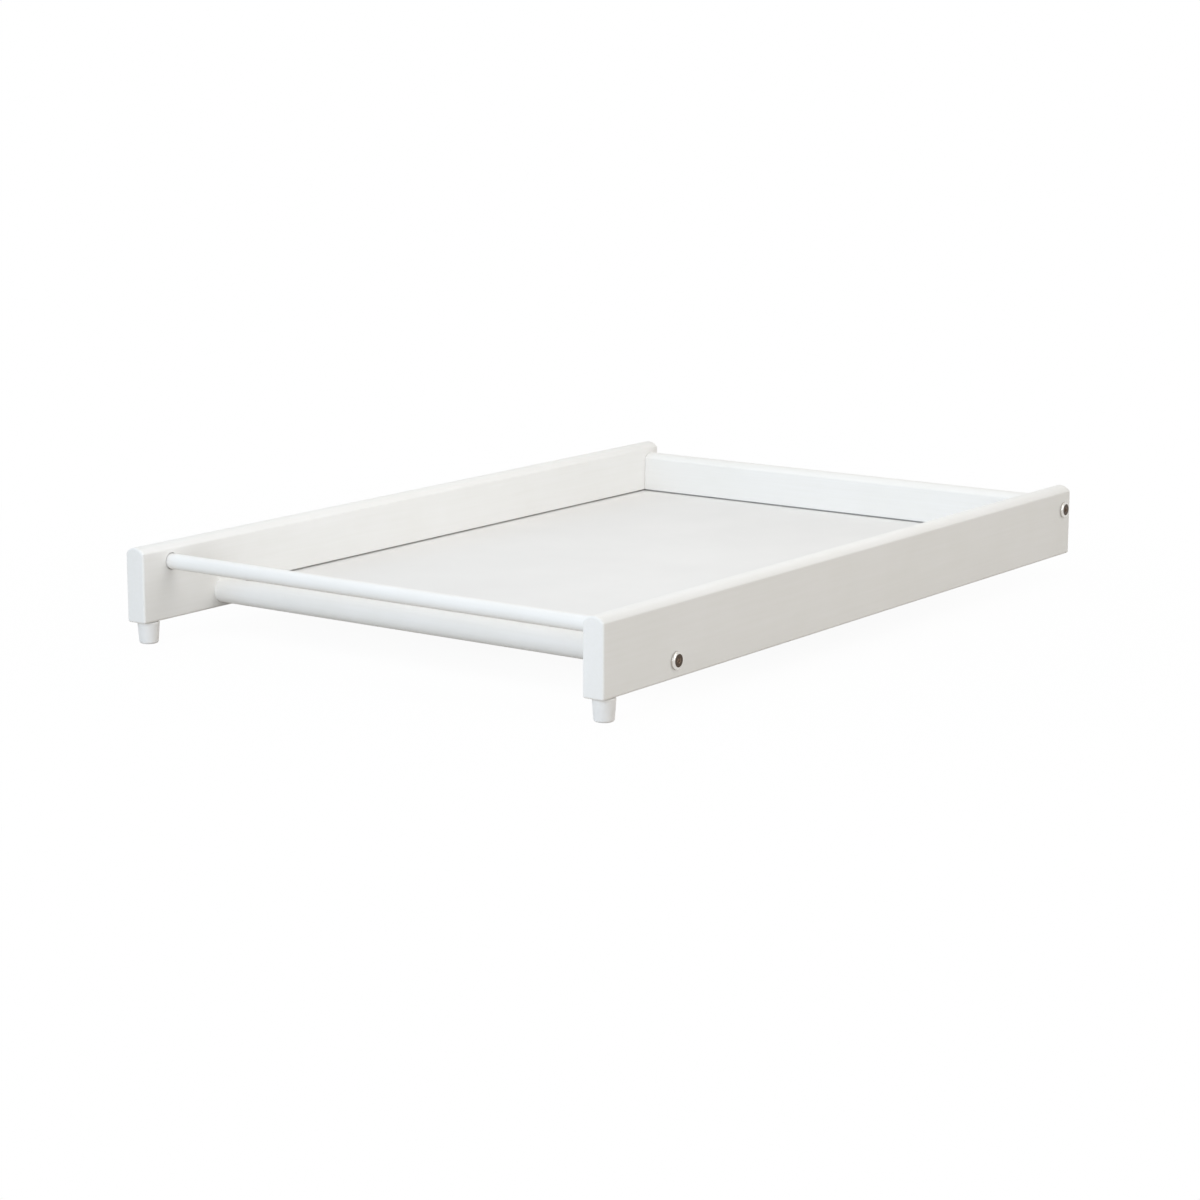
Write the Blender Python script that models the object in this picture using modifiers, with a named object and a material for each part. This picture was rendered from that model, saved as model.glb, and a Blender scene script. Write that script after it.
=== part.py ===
"""Cot top changer in white lacquered wood.

A shallow tray that lies across the two long rails of a cot. Two crowned side boards carry a rear
board and a grooved front rail, and a thin panel is held in grooves on all four sides. A round
towel rail turns freely in blind sockets at the front, and a tapered peg under the front end of
each side board drops into the cot's rail.

Metres, +Z up. X runs across the tray and Y from the front, where the towel rail is, to the rear.
The origin is on the ground under the middle of the tray. The boards are dimensioned from a datum
at the front end of the side boards, level with their undersides.
"""

import math

import bmesh
import bpy

# Tray
INNER_WIDTH = 0.481
SEAT_GAP = 0.0003
CUT_OVERRUN = 0.004

# Side boards
BOARD_LENGTH = 0.800
BOARD_THICKNESS = 0.021
BOARD_HEIGHT = 0.0682
CROWN_RISE = 0.0053
EDGE_ROUNDING = 0.0022
END_ROUNDING = 0.002

# Rear board
REAR_THICKNESS = 0.021
REAR_HEIGHT = 0.0584
REAR_SETBACK = 0.0035

# Base panel, and the grooves that hold it
PANEL_THICKNESS = 0.005
PANEL_UNDERSIDE_HEIGHT = 0.0125
PANEL_SIDE_PLAY = 0.0004
PANEL_EDGE_EASING = 0.0001
GROOVE_DEPTH = 0.006
GROOVE_HEADROOM = 0.0012

# Panel rail: the thick front rail
PANEL_RAIL_DIAMETER = 0.0225
PANEL_RAIL_SETBACK = 0.102
PANEL_RAIL_SOCKET_DEPTH = 0.004
PANEL_RAIL_GROOVE_DEPTH = 0.0055
PANEL_RAIL_END_CHAMFER = 0.0006

# Towel rail: the thin front rail
TOWEL_RAIL_DIAMETER = 0.014
TOWEL_RAIL_SETBACK = 0.0365
TOWEL_RAIL_HEIGHT = 0.0521
TOWEL_RAIL_SOCKET_DEPTH = 0.010
TOWEL_RAIL_CLEARANCE = 0.0004
TOWEL_RAIL_END_PLAY = 0.0006
TOWEL_RAIL_END_CHAMFER = 0.001

# Locating pegs
PEG_LENGTH = 0.020
PEG_TOP_DIAMETER = 0.0198
PEG_TIP_DIAMETER = 0.0174
PEG_TIP_ROUNDING = 0.0025
PEG_SHOULDER_CHAMFER = 0.0005
PEG_SETBACK = 0.0155
PEG_SPOT_FACE_DEPTH = 0.0001
SPIGOT_DIAMETER = 0.010
SPIGOT_LENGTH = 0.018
SPIGOT_CHAMFER = 0.001

# Connector bolts
BOLT_DIAMETER = 0.006
BOLT_HOLE_CLEARANCE = 0.0005
BOLT_TIP_CHAMFER = 0.0008
BOLT_HEAD_DIAMETER = 0.0155
BOLT_FACE_DIAMETER = 0.011
BOLT_HEAD_HEIGHT = 0.0026
BOLT_RIM_HEIGHT = 0.001
HEX_KEY_SIZE = 0.004
HEX_SOCKET_DEPTH = 0.0026
FRONT_BOLT_LENGTH = 0.035
REAR_BOLT_LENGTH = 0.060
REAR_BOLT_HEIGHT = 0.046

# Threaded inserts in the ends of the panel rail
INSERT_DIAMETER = 0.009
INSERT_LENGTH = 0.015
INSERT_BARB_DEPTH = 0.0005
INSERT_BARBS = 4
PILOT_DIAMETER = 0.0072
PILOT_LENGTH = 0.034

# Barrel nuts in the back of the rear board
BARREL_NUT_DIAMETER = 0.010
BARREL_NUT_LENGTH = 0.013
BARREL_NUT_INSET = 0.034
BARREL_NUT_CHAMFER = 0.0004
BARREL_SLOT_WIDTH = 0.0012
BARREL_SLOT_DEPTH = 0.0014

# Wooden dowels between the rear board and the side boards
DOWEL_DIAMETER = 0.008
DOWEL_LENGTH = 0.030
DOWEL_IN_BOARD = 0.012
DOWEL_HEIGHT = 0.030
DOWEL_CHAMFER = 0.001
FLUTE_DEPTH = 0.0004
FLUTES = 14

# Facets
CROWN_FACETS = 12
CORNER_FACETS = 4
END_ROUNDING_RESOLUTION = 2
RAIL_SIDES = 48
SMALL_SIDES = 32
SMOOTH_ANGLE = math.radians(30)
RIM_ANGLE = math.radians(75)
WELD_DISTANCE = 0.00001

# Places that follow from the sizes
LEFT, RIGHT = -1, 1
INNER_FACE_X = INNER_WIDTH / 2
OUTER_FACE_X = INNER_FACE_X + BOARD_THICKNESS
BOARD_MIDDLE_X = INNER_FACE_X + BOARD_THICKNESS / 2
REAR_BACK_Y = BOARD_LENGTH - REAR_SETBACK
REAR_MIDDLE_Y = REAR_BACK_Y - REAR_THICKNESS / 2
REAR_INNER_Y = REAR_BACK_Y - REAR_THICKNESS
GROOVE_BOTTOM = PANEL_UNDERSIDE_HEIGHT - SEAT_GAP
GROOVE_TOP = PANEL_UNDERSIDE_HEIGHT + PANEL_THICKNESS + GROOVE_HEADROOM
GROOVE_WIDTH = GROOVE_TOP - GROOVE_BOTTOM
GROOVE_MIDDLE = (GROOVE_TOP + GROOVE_BOTTOM) / 2
PANEL_FRONT_Y = PANEL_RAIL_SETBACK + PANEL_RAIL_DIAMETER / 2 - PANEL_RAIL_GROOVE_DEPTH + PANEL_SIDE_PLAY
PANEL_REAR_Y = REAR_INNER_Y + GROOVE_DEPTH - PANEL_SIDE_PLAY
BARREL_NUT_X = INNER_FACE_X - BARREL_NUT_INSET
PANEL_RAIL_END_X = INNER_FACE_X + PANEL_RAIL_SOCKET_DEPTH - SEAT_GAP
DATUM_HEIGHT = PEG_LENGTH + SEAT_GAP

# Turns that lay a shape drawn along Z on another axis
ALONG_X = (0, math.radians(90), 0)
ALONG_Y = (math.radians(90), 0, 0)
UPRIGHT = (0, 0, 0)
SECTION_ALONG_X = (math.radians(90), 0, math.radians(90))


def clear_scene():
    for obj in list(bpy.data.objects):
        bpy.data.objects.remove(obj, do_unlink=True)


def new_collection(name):
    collection = bpy.data.collections.new(name)
    bpy.context.scene.collection.children.link(collection)
    return collection


def new_datum():
    """The empty that every piece hangs from: front end of the side boards, at their undersides."""
    datum = bpy.data.objects.new("board_datum", None)
    datum.location = (0, -BOARD_LENGTH / 2, DATUM_HEIGHT)
    PARTS.objects.link(datum)
    return datum


def painted(name, colour, roughness, metallic=0.0):
    material = bpy.data.materials.new(name)
    material.use_nodes = True
    surface = material.node_tree.nodes["Principled BSDF"]
    surface.inputs["Base Color"].default_value = (*colour, 1)
    surface.inputs["Roughness"].default_value = roughness
    surface.inputs["Metallic"].default_value = metallic
    material.diffuse_color = (*colour, 1)
    return material


def mesh_from(bm, name):
    mesh = bpy.data.meshes.new(name)
    bm.to_mesh(mesh)
    bm.free()
    return mesh


def cylinder(name, diameter, length, sides):
    """A closed cylinder along Z, centred on its middle."""
    bm = bmesh.new()
    radius = diameter / 2
    bmesh.ops.create_cone(
        bm, cap_ends=True, segments=sides, radius1=radius, radius2=radius, depth=length
    )
    return mesh_from(bm, name)


def box(name, size):
    """A closed box of size (x, y, z), centred on its middle."""
    bm = bmesh.new()
    bmesh.ops.create_cube(bm, size=1)
    bmesh.ops.scale(bm, vec=size, verts=bm.verts)
    return mesh_from(bm, name)


def place(obj, collection, location, rotation=UPRIGHT):
    collection.objects.link(obj)
    obj.parent = DATUM
    obj.location = location
    obj.rotation_euler = rotation
    return obj


def cut_away(body, mesh, location, rotation=UPRIGHT):
    """Cuts a cutter's shape out of a body. Both are placed from the datum."""
    cutter = place(bpy.data.objects.new(mesh.name, mesh), CUTTERS, location, rotation)
    cutter.hide_render = True
    cutter.display_type = "WIRE"
    cut = body.modifiers.new(mesh.name, "BOOLEAN")
    cut.operation = "DIFFERENCE"
    cut.object = cutter


def chamfer_rims(obj, width):
    """Breaks the rims at the two ends of a round piece."""
    chamfer = obj.modifiers.new("chamfered rims", "BEVEL")
    chamfer.width = width
    chamfer.segments = 1
    chamfer.limit_method = "ANGLE"
    chamfer.angle_limit = RIM_ANGLE


def finished_mesh(obj, name):
    """The evaluated, welded mesh of an object, which is then removed."""
    bpy.context.view_layer.update()
    graph = bpy.context.evaluated_depsgraph_get()
    mesh = bpy.data.meshes.new_from_object(obj.evaluated_get(graph))
    bm = bmesh.new()
    bm.from_mesh(mesh)
    bmesh.ops.remove_doubles(bm, verts=bm.verts, dist=WELD_DISTANCE)
    bmesh.ops.recalc_face_normals(bm, faces=bm.faces)
    bm.to_mesh(mesh)
    bm.free()
    mesh.name = name
    bpy.data.objects.remove(obj, do_unlink=True)
    return mesh


def smooth(mesh):
    mesh.shade_smooth()
    mesh.set_sharp_from_angle(angle=SMOOTH_ANGLE)
    return mesh


def piece(name, mesh, material, location, rotation=UPRIGHT):
    """One named piece of the changer. Pieces of one kind share a mesh."""
    if not mesh.materials:
        mesh.materials.append(material)
    return place(bpy.data.objects.new(name, smooth(mesh)), PARTS, location, rotation)


def extruded(name, outline, length, rounding=0):
    """A solid with a drawn section, through the middle of its length along Z.

    A rounding draws the section in towards both ends, by no more than its own radii allow.
    """
    curve = bpy.data.curves.new(name, "CURVE")
    curve.dimensions = "2D"
    curve.fill_mode = "BOTH"
    curve.extrude = length / 2 - rounding
    curve.bevel_depth = rounding
    curve.bevel_resolution = END_ROUNDING_RESOLUTION
    curve.offset = -rounding
    line = curve.splines.new("POLY")
    line.points.add(len(outline) - 1)
    for point, (x, y) in zip(line.points, outline):
        point.co = (x, y, 0, 1)
    line.use_cyclic_u = True
    drawn = bpy.data.objects.new(name, curve)
    bpy.context.scene.collection.objects.link(drawn)
    return finished_mesh(drawn, name)


def turned(name, profile, closed=False):
    """A turned solid about Z. Its profile runs down the outer side, and a ring's profile closes."""
    mesh = bpy.data.meshes.new(name)
    count = len(profile)
    edges = [(i, (i + 1) % count) for i in range(count if closed else count - 1)]
    mesh.from_pydata([(radius, 0, height) for radius, height in profile], edges, [])
    blank = bpy.data.objects.new(name, mesh)
    bpy.context.scene.collection.objects.link(blank)
    lathe = blank.modifiers.new("lathe", "SCREW")
    lathe.steps = SMALL_SIDES
    lathe.render_steps = SMALL_SIDES
    lathe.use_merge_vertices = True
    lathe.merge_threshold = WELD_DISTANCE
    return finished_mesh(blank, name)


def arc(centre, radius, start, end, facets):
    """Points on an arc, both ends included. Angles are in radians from +X."""
    steps = [start + (end - start) * i / facets for i in range(facets + 1)]
    return [
        (centre[0] + radius * math.cos(a), centre[1] + radius * math.sin(a))
        for a in steps
    ]


def crowned_section(thickness, height):
    """End section of a board, from the middle of its thickness and its underside upwards.

    The top is one shallow arc, and small arcs round the two creases and the lower corners.
    """
    half = thickness / 2
    inset = half - EDGE_ROUNDING
    crown_radius = (half * half + CROWN_RISE * CROWN_RISE) / (2 * CROWN_RISE)
    crown_centre = height - crown_radius
    crease_height = crown_centre + math.sqrt((crown_radius - EDGE_ROUNDING) ** 2 - inset * inset)
    crease_angle = math.atan2(crease_height - crown_centre, inset)
    quarter = math.pi / 2
    half_turn = math.pi
    right_crease = arc((inset, crease_height), EDGE_ROUNDING, 0, crease_angle, CORNER_FACETS)
    crown = arc(
        (0, crown_centre), crown_radius, crease_angle, half_turn - crease_angle, CROWN_FACETS
    )
    left_crease = [(-x, y) for x, y in reversed(right_crease)]
    left_corner = arc(
        (-inset, EDGE_ROUNDING), EDGE_ROUNDING, half_turn, half_turn + quarter, CORNER_FACETS
    )
    right_corner = [(-x, y) for x, y in reversed(left_corner)]
    return right_crease + crown[1:-1] + left_crease + left_corner + right_corner


def make_side_board(side, material):
    """A crowned board with its sockets, its stopped groove and its bolt, dowel and peg holes."""
    name = f"side_board_{SIDE_NAMES[side]}"
    rounding = min(END_ROUNDING, EDGE_ROUNDING)
    section = crowned_section(BOARD_THICKNESS, BOARD_HEIGHT)
    mesh = extruded(name, section, BOARD_LENGTH, rounding)
    board = piece(
        name, mesh, material, (side * BOARD_MIDDLE_X, BOARD_LENGTH / 2, 0), ALONG_Y
    )

    def bore_inner_face(kind, diameter, depth, y, z, sides):
        """A blind hole from the inner face, outwards."""
        length = depth + CUT_OVERRUN
        x = INNER_FACE_X + depth - length / 2
        shape = cylinder(f"{kind}_{SIDE_NAMES[side]}", diameter, length, sides)
        cut_away(board, shape, (side * x, y, z), ALONG_X)

    groove_length = PANEL_REAR_Y - PANEL_FRONT_Y + 2 * PANEL_SIDE_PLAY
    groove_reach = GROOVE_DEPTH + CUT_OVERRUN
    groove = box(f"board_groove_{SIDE_NAMES[side]}", (groove_reach, groove_length, GROOVE_WIDTH))
    groove_x = INNER_FACE_X + GROOVE_DEPTH - groove_reach / 2
    groove_y = (PANEL_FRONT_Y + PANEL_REAR_Y) / 2
    cut_away(board, groove, (side * groove_x, groove_y, GROOVE_MIDDLE))

    bore_inner_face(
        "panel_rail_socket",
        PANEL_RAIL_DIAMETER + 2 * SEAT_GAP,
        PANEL_RAIL_SOCKET_DEPTH,
        PANEL_RAIL_SETBACK,
        GROOVE_MIDDLE,
        RAIL_SIDES,
    )
    bore_inner_face(
        "towel_rail_socket",
        TOWEL_RAIL_DIAMETER + 2 * TOWEL_RAIL_CLEARANCE,
        TOWEL_RAIL_SOCKET_DEPTH,
        TOWEL_RAIL_SETBACK,
        TOWEL_RAIL_HEIGHT,
        RAIL_SIDES,
    )
    bore_inner_face(
        "board_dowel_hole",
        DOWEL_DIAMETER + 2 * SEAT_GAP,
        DOWEL_IN_BOARD + SEAT_GAP,
        REAR_MIDDLE_Y,
        DOWEL_HEIGHT,
        SMALL_SIDES,
    )
    bolt_hole = BOLT_DIAMETER + 2 * BOLT_HOLE_CLEARANCE
    through = BOARD_THICKNESS + CUT_OVERRUN
    for kind, y, z in (
        ("front_bolt_hole", PANEL_RAIL_SETBACK, GROOVE_MIDDLE),
        ("rear_bolt_hole", REAR_MIDDLE_Y, REAR_BOLT_HEIGHT),
    ):
        shape = cylinder(f"{kind}_{SIDE_NAMES[side]}", bolt_hole, through, SMALL_SIDES)
        cut_away(board, shape, (side * BOARD_MIDDLE_X, y, z), ALONG_X)

    for kind, diameter, depth, sides in (
        ("peg_hole", SPIGOT_DIAMETER, SPIGOT_LENGTH, SMALL_SIDES),
        ("peg_spot_face", PEG_TOP_DIAMETER, PEG_SPOT_FACE_DEPTH, RAIL_SIDES),
    ):
        length = depth + CUT_OVERRUN
        shape = cylinder(f"{kind}_{SIDE_NAMES[side]}", diameter + 2 * SEAT_GAP, length, sides)
        cut_away(board, shape, (side * BOARD_MIDDLE_X, PEG_SETBACK, depth - length / 2))


def make_rear_board(material):
    """A lower crowned board between the side boards, grooved inside and bored at both ends."""
    length = INNER_WIDTH - 2 * SEAT_GAP
    mesh = extruded("rear_board", crowned_section(REAR_THICKNESS, REAR_HEIGHT), length)
    board = piece("rear_board", mesh, material, (0, REAR_MIDDLE_Y, 0), SECTION_ALONG_X)

    reach = GROOVE_DEPTH + CUT_OVERRUN
    groove = box("rear_groove", (length + CUT_OVERRUN, reach, GROOVE_WIDTH))
    cut_away(board, groove, (0, REAR_INNER_Y + GROOVE_DEPTH - reach / 2, GROOVE_MIDDLE))

    for side in SIDE_NAMES:
        dowel_depth = DOWEL_LENGTH - DOWEL_IN_BOARD + SEAT_GAP + CUT_OVERRUN
        bolt_depth = REAR_BOLT_LENGTH - BOARD_THICKNESS + CUT_OVERRUN
        for kind, diameter, depth, inner_x, z in (
            (
                "rear_dowel_bore",
                DOWEL_DIAMETER + 2 * SEAT_GAP,
                dowel_depth,
                INNER_FACE_X + CUT_OVERRUN - dowel_depth,
                DOWEL_HEIGHT,
            ),
            (
                "rear_bolt_bore",
                BOLT_DIAMETER + 2 * BOLT_HOLE_CLEARANCE,
                bolt_depth + CUT_OVERRUN,
                INNER_FACE_X - bolt_depth,
                REAR_BOLT_HEIGHT,
            ),
        ):
            shape = cylinder(f"{kind}_{SIDE_NAMES[side]}", diameter, depth, SMALL_SIDES)
            x = inner_x + depth / 2
            cut_away(board, shape, (side * x, REAR_MIDDLE_Y, z), ALONG_X)

        nut_depth = REAR_THICKNESS / 2 + BARREL_NUT_LENGTH / 2 + SEAT_GAP
        bore_length = nut_depth + CUT_OVERRUN
        bore = cylinder(
            f"barrel_nut_bore_{SIDE_NAMES[side]}",
            BARREL_NUT_DIAMETER + 2 * SEAT_GAP,
            bore_length,
            SMALL_SIDES,
        )
        bore_y = REAR_BACK_Y - nut_depth + bore_length / 2
        cut_away(board, bore, (side * BARREL_NUT_X, bore_y, REAR_BOLT_HEIGHT), ALONG_Y)


def make_base_panel(material):
    """The flat panel that carries the mat, its top eased where the four grooves hold it."""
    width = INNER_WIDTH + 2 * (GROOVE_DEPTH - PANEL_SIDE_PLAY)
    length = PANEL_REAR_Y - PANEL_FRONT_Y
    mesh = box("base_panel", (width, length, PANEL_THICKNESS))
    middle_y = (PANEL_FRONT_Y + PANEL_REAR_Y) / 2
    middle_z = PANEL_UNDERSIDE_HEIGHT + PANEL_THICKNESS / 2
    panel = piece("base_panel", mesh, material, (0, middle_y, middle_z))

    mat_x = INNER_FACE_X - SEAT_GAP
    mat_front_y = PANEL_RAIL_SETBACK + PANEL_RAIL_DIAMETER / 2 + SEAT_GAP
    mat_rear_y = REAR_INNER_Y - SEAT_GAP
    past = 2 * GROOVE_DEPTH
    shape_height = PANEL_EDGE_EASING + CUT_OVERRUN
    z = PANEL_UNDERSIDE_HEIGHT + PANEL_THICKNESS - PANEL_EDGE_EASING + shape_height / 2
    for kind, x, y, size_x, size_y in (
        ("left_edge", -mat_x - past / 2, middle_y, past, length + past),
        ("right_edge", mat_x + past / 2, middle_y, past, length + past),
        ("front_edge", 0, mat_front_y - past / 2, width + past, past),
        ("rear_edge", 0, mat_rear_y + past / 2, width + past, past),
    ):
        cut_away(panel, box(f"eased_{kind}", (size_x, size_y, shape_height)), (x, y, z))


def make_panel_rail(material):
    """The thick rail: grooved along its rear side, and bored at both ends for an insert."""
    mesh = cylinder("panel_rail", PANEL_RAIL_DIAMETER, 2 * PANEL_RAIL_END_X, RAIL_SIDES)
    rail = piece(
        "panel_rail", mesh, material, (0, PANEL_RAIL_SETBACK, GROOVE_MIDDLE), ALONG_X
    )
    chamfer_rims(rail, PANEL_RAIL_END_CHAMFER)

    reach = PANEL_RAIL_GROOVE_DEPTH + CUT_OVERRUN
    groove = box("rail_groove", (2 * PANEL_RAIL_END_X + CUT_OVERRUN, reach, GROOVE_WIDTH))
    groove_y = PANEL_RAIL_SETBACK + PANEL_RAIL_DIAMETER / 2 - PANEL_RAIL_GROOVE_DEPTH + reach / 2
    cut_away(rail, groove, (0, groove_y, GROOVE_MIDDLE))

    for side in SIDE_NAMES:
        for kind, diameter, depth in (
            ("insert_bore", INSERT_DIAMETER + 2 * SEAT_GAP, INSERT_LENGTH + 2 * SEAT_GAP),
            ("pilot_bore", PILOT_DIAMETER, PILOT_LENGTH),
        ):
            length = depth + CUT_OVERRUN
            shape = cylinder(f"{kind}_{SIDE_NAMES[side]}", diameter, length, SMALL_SIDES)
            x = PANEL_RAIL_END_X - depth + length / 2
            cut_away(rail, shape, (side * x, PANEL_RAIL_SETBACK, GROOVE_MIDDLE), ALONG_X)


def make_towel_rail(material):
    """The thin rail, whose ends turn in blind sockets. Its origin is on its own axis."""
    reach = INNER_FACE_X + TOWEL_RAIL_SOCKET_DEPTH - TOWEL_RAIL_END_PLAY
    mesh = cylinder("towel_rail", TOWEL_RAIL_DIAMETER, 2 * reach, RAIL_SIDES)
    rail = piece(
        "towel_rail", mesh, material, (0, TOWEL_RAIL_SETBACK, TOWEL_RAIL_HEIGHT), ALONG_X
    )
    chamfer_rims(rail, TOWEL_RAIL_END_CHAMFER)


def make_pegs(material):
    """Turned pegs: a tapered body below the board and a spigot that is pressed into it."""
    top = PEG_TOP_DIAMETER / 2
    tip = PEG_TIP_DIAMETER / 2
    spigot = SPIGOT_DIAMETER / 2
    rounding = arc(
        (tip - PEG_TIP_ROUNDING, PEG_TIP_ROUNDING - PEG_LENGTH),
        PEG_TIP_ROUNDING,
        0,
        -math.pi / 2,
        CORNER_FACETS,
    )
    profile = [
        (0, SPIGOT_LENGTH - SEAT_GAP),
        (spigot - SPIGOT_CHAMFER, SPIGOT_LENGTH - SEAT_GAP),
        (spigot, SPIGOT_LENGTH - SEAT_GAP - SPIGOT_CHAMFER),
        (spigot, 0),
        (top - PEG_SHOULDER_CHAMFER, 0),
        (top, -PEG_SHOULDER_CHAMFER),
        *rounding,
        (0, -PEG_LENGTH),
    ]
    mesh = turned("locating_peg", profile)
    for side, word in SIDE_NAMES.items():
        piece(
            f"locating_peg_{word}",
            mesh,
            material,
            (side * BOARD_MIDDLE_X, PEG_SETBACK, -SEAT_GAP),
        )


def bolt_mesh(name, length):
    """A connector bolt along Z, its bevelled head above zero, with a hexagon socket."""
    shank = BOLT_DIAMETER / 2
    profile = [
        (0, BOLT_HEAD_HEIGHT),
        (BOLT_FACE_DIAMETER / 2, BOLT_HEAD_HEIGHT),
        (BOLT_HEAD_DIAMETER / 2, BOLT_RIM_HEIGHT),
        (BOLT_HEAD_DIAMETER / 2, 0),
        (shank, 0),
        (shank, BOLT_TIP_CHAMFER - length),
        (shank - BOLT_TIP_CHAMFER, -length),
        (0, -length),
    ]
    blank = bpy.data.objects.new(name, turned(name, profile))
    place(blank, PARTS, (0, 0, 0))
    socket = cylinder(
        f"{name}_hex_socket",
        2 * HEX_KEY_SIZE / math.sqrt(3),
        HEX_SOCKET_DEPTH + CUT_OVERRUN,
        6,
    )
    middle = BOLT_HEAD_HEIGHT - HEX_SOCKET_DEPTH + (HEX_SOCKET_DEPTH + CUT_OVERRUN) / 2
    cut_away(blank, socket, (0, 0, middle))
    return finished_mesh(blank, name)


def make_bolts(material):
    """Four bolts through the side boards: two into the panel rail, two into the rear board."""
    for kind, length, y, z in (
        ("front_bolt", FRONT_BOLT_LENGTH, PANEL_RAIL_SETBACK, GROOVE_MIDDLE),
        ("rear_bolt", REAR_BOLT_LENGTH, REAR_MIDDLE_Y, REAR_BOLT_HEIGHT),
    ):
        mesh = bolt_mesh(kind, length)
        for side, word in SIDE_NAMES.items():
            head_x = side * (OUTER_FACE_X + SEAT_GAP)
            piece(
                f"{kind}_{word}", mesh, material, (head_x, y, z), (0, side * math.radians(90), 0)
            )


def make_inserts(material):
    """Barbed threaded sleeves, pressed into the ends of the panel rail."""
    outer = INSERT_DIAMETER / 2
    bore = BOLT_DIAMETER / 2 + SEAT_GAP
    pitch = INSERT_LENGTH / INSERT_BARBS
    barbs = []
    for i in range(INSERT_BARBS):
        barbs.append((outer, -i * pitch))
        barbs.append((outer - INSERT_BARB_DEPTH, -(i + 1) * pitch))
    mesh = turned("threaded_insert", [(bore, 0), *barbs, (bore, -INSERT_LENGTH)], closed=True)
    for side, word in SIDE_NAMES.items():
        piece(
            f"threaded_insert_{word}",
            mesh,
            material,
            (side * (PANEL_RAIL_END_X - SEAT_GAP), PANEL_RAIL_SETBACK, GROOVE_MIDDLE),
            (0, side * math.radians(90), 0),
        )


def make_barrel_nuts(material):
    """Cross-drilled nuts with a screwdriver slot, in holes from the back of the rear board."""
    outer = BARREL_NUT_DIAMETER / 2
    half = BARREL_NUT_LENGTH / 2
    profile = [
        (0, half),
        (outer - BARREL_NUT_CHAMFER, half),
        (outer, half - BARREL_NUT_CHAMFER),
        (outer, BARREL_NUT_CHAMFER - half),
        (outer - BARREL_NUT_CHAMFER, -half),
        (0, -half),
    ]
    name = "barrel_nut"
    blank = place(bpy.data.objects.new(name, turned(name, profile)), PARTS, (0, 0, 0))
    across = BARREL_NUT_DIAMETER + CUT_OVERRUN
    thread = cylinder("nut_thread", BOLT_DIAMETER + 2 * SEAT_GAP, across, SMALL_SIDES)
    cut_away(blank, thread, (0, 0, 0), ALONG_X)
    slot = box("nut_slot", (across, BARREL_SLOT_WIDTH, BARREL_SLOT_DEPTH + CUT_OVERRUN))
    cut_away(blank, slot, (0, 0, -half + (BARREL_SLOT_DEPTH - CUT_OVERRUN) / 2))
    mesh = finished_mesh(blank, name)
    for side, word in SIDE_NAMES.items():
        piece(
            f"barrel_nut_{word}",
            mesh,
            material,
            (side * BARREL_NUT_X, REAR_MIDDLE_Y, REAR_BOLT_HEIGHT),
            ALONG_Y,
        )


def make_dowels(material):
    """Fluted wooden dowels that keep the rear board from turning on its bolts."""
    crest = DOWEL_DIAMETER / 2
    outline = []
    for i in range(2 * FLUTES):
        radius = crest - FLUTE_DEPTH * (i % 2)
        angle = math.pi * i / FLUTES
        outline.append((radius * math.cos(angle), radius * math.sin(angle)))
    mesh = extruded("wooden_dowel", outline, DOWEL_LENGTH)
    for side, word in SIDE_NAMES.items():
        x = INNER_FACE_X + DOWEL_IN_BOARD - DOWEL_LENGTH / 2
        dowel = piece(
            f"wooden_dowel_{word}", mesh, material, (side * x, REAR_MIDDLE_Y, DOWEL_HEIGHT), ALONG_X
        )
        chamfer_rims(dowel, DOWEL_CHAMFER)


SIDE_NAMES = {LEFT: "left", RIGHT: "right"}

clear_scene()
PARTS = new_collection("cot_top_changer")
CUTTERS = new_collection("cutters")
DATUM = new_datum()

white_lacquer = painted("white lacquered beech", (0.87, 0.86, 0.84), 0.38)
white_panel = painted("white faced panel", (0.86, 0.86, 0.85), 0.42)
white_plastic = painted("white moulded plastic", (0.83, 0.83, 0.82), 0.45)
bronzed_steel = painted("bronzed steel", (0.29, 0.25, 0.21), 0.28, metallic=1.0)
zinc_plate = painted("zinc plated steel", (0.58, 0.58, 0.56), 0.35, metallic=1.0)
raw_beech = painted("raw beech", (0.62, 0.44, 0.27), 0.6)

for board_side in SIDE_NAMES:
    make_side_board(board_side, white_lacquer)
make_rear_board(white_lacquer)
make_base_panel(white_panel)
make_panel_rail(white_lacquer)
make_towel_rail(white_lacquer)
make_pegs(white_plastic)
make_bolts(bronzed_steel)
make_inserts(zinc_plate)
make_barrel_nuts(zinc_plate)
make_dowels(raw_beech)
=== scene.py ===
"""Looks of the cot top changer: white lacquered boards and rails round a thin faced panel.

Metres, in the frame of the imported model: X runs across the tray, Y from the front, where the
towel rail is, to the rear, and Z up from the floor under the pegs. Places and main sizes are
read from the frame, and what it doesn't say is named here.
"""

import math

import bmesh
import bpy
from mathutils import Matrix, Vector


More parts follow.
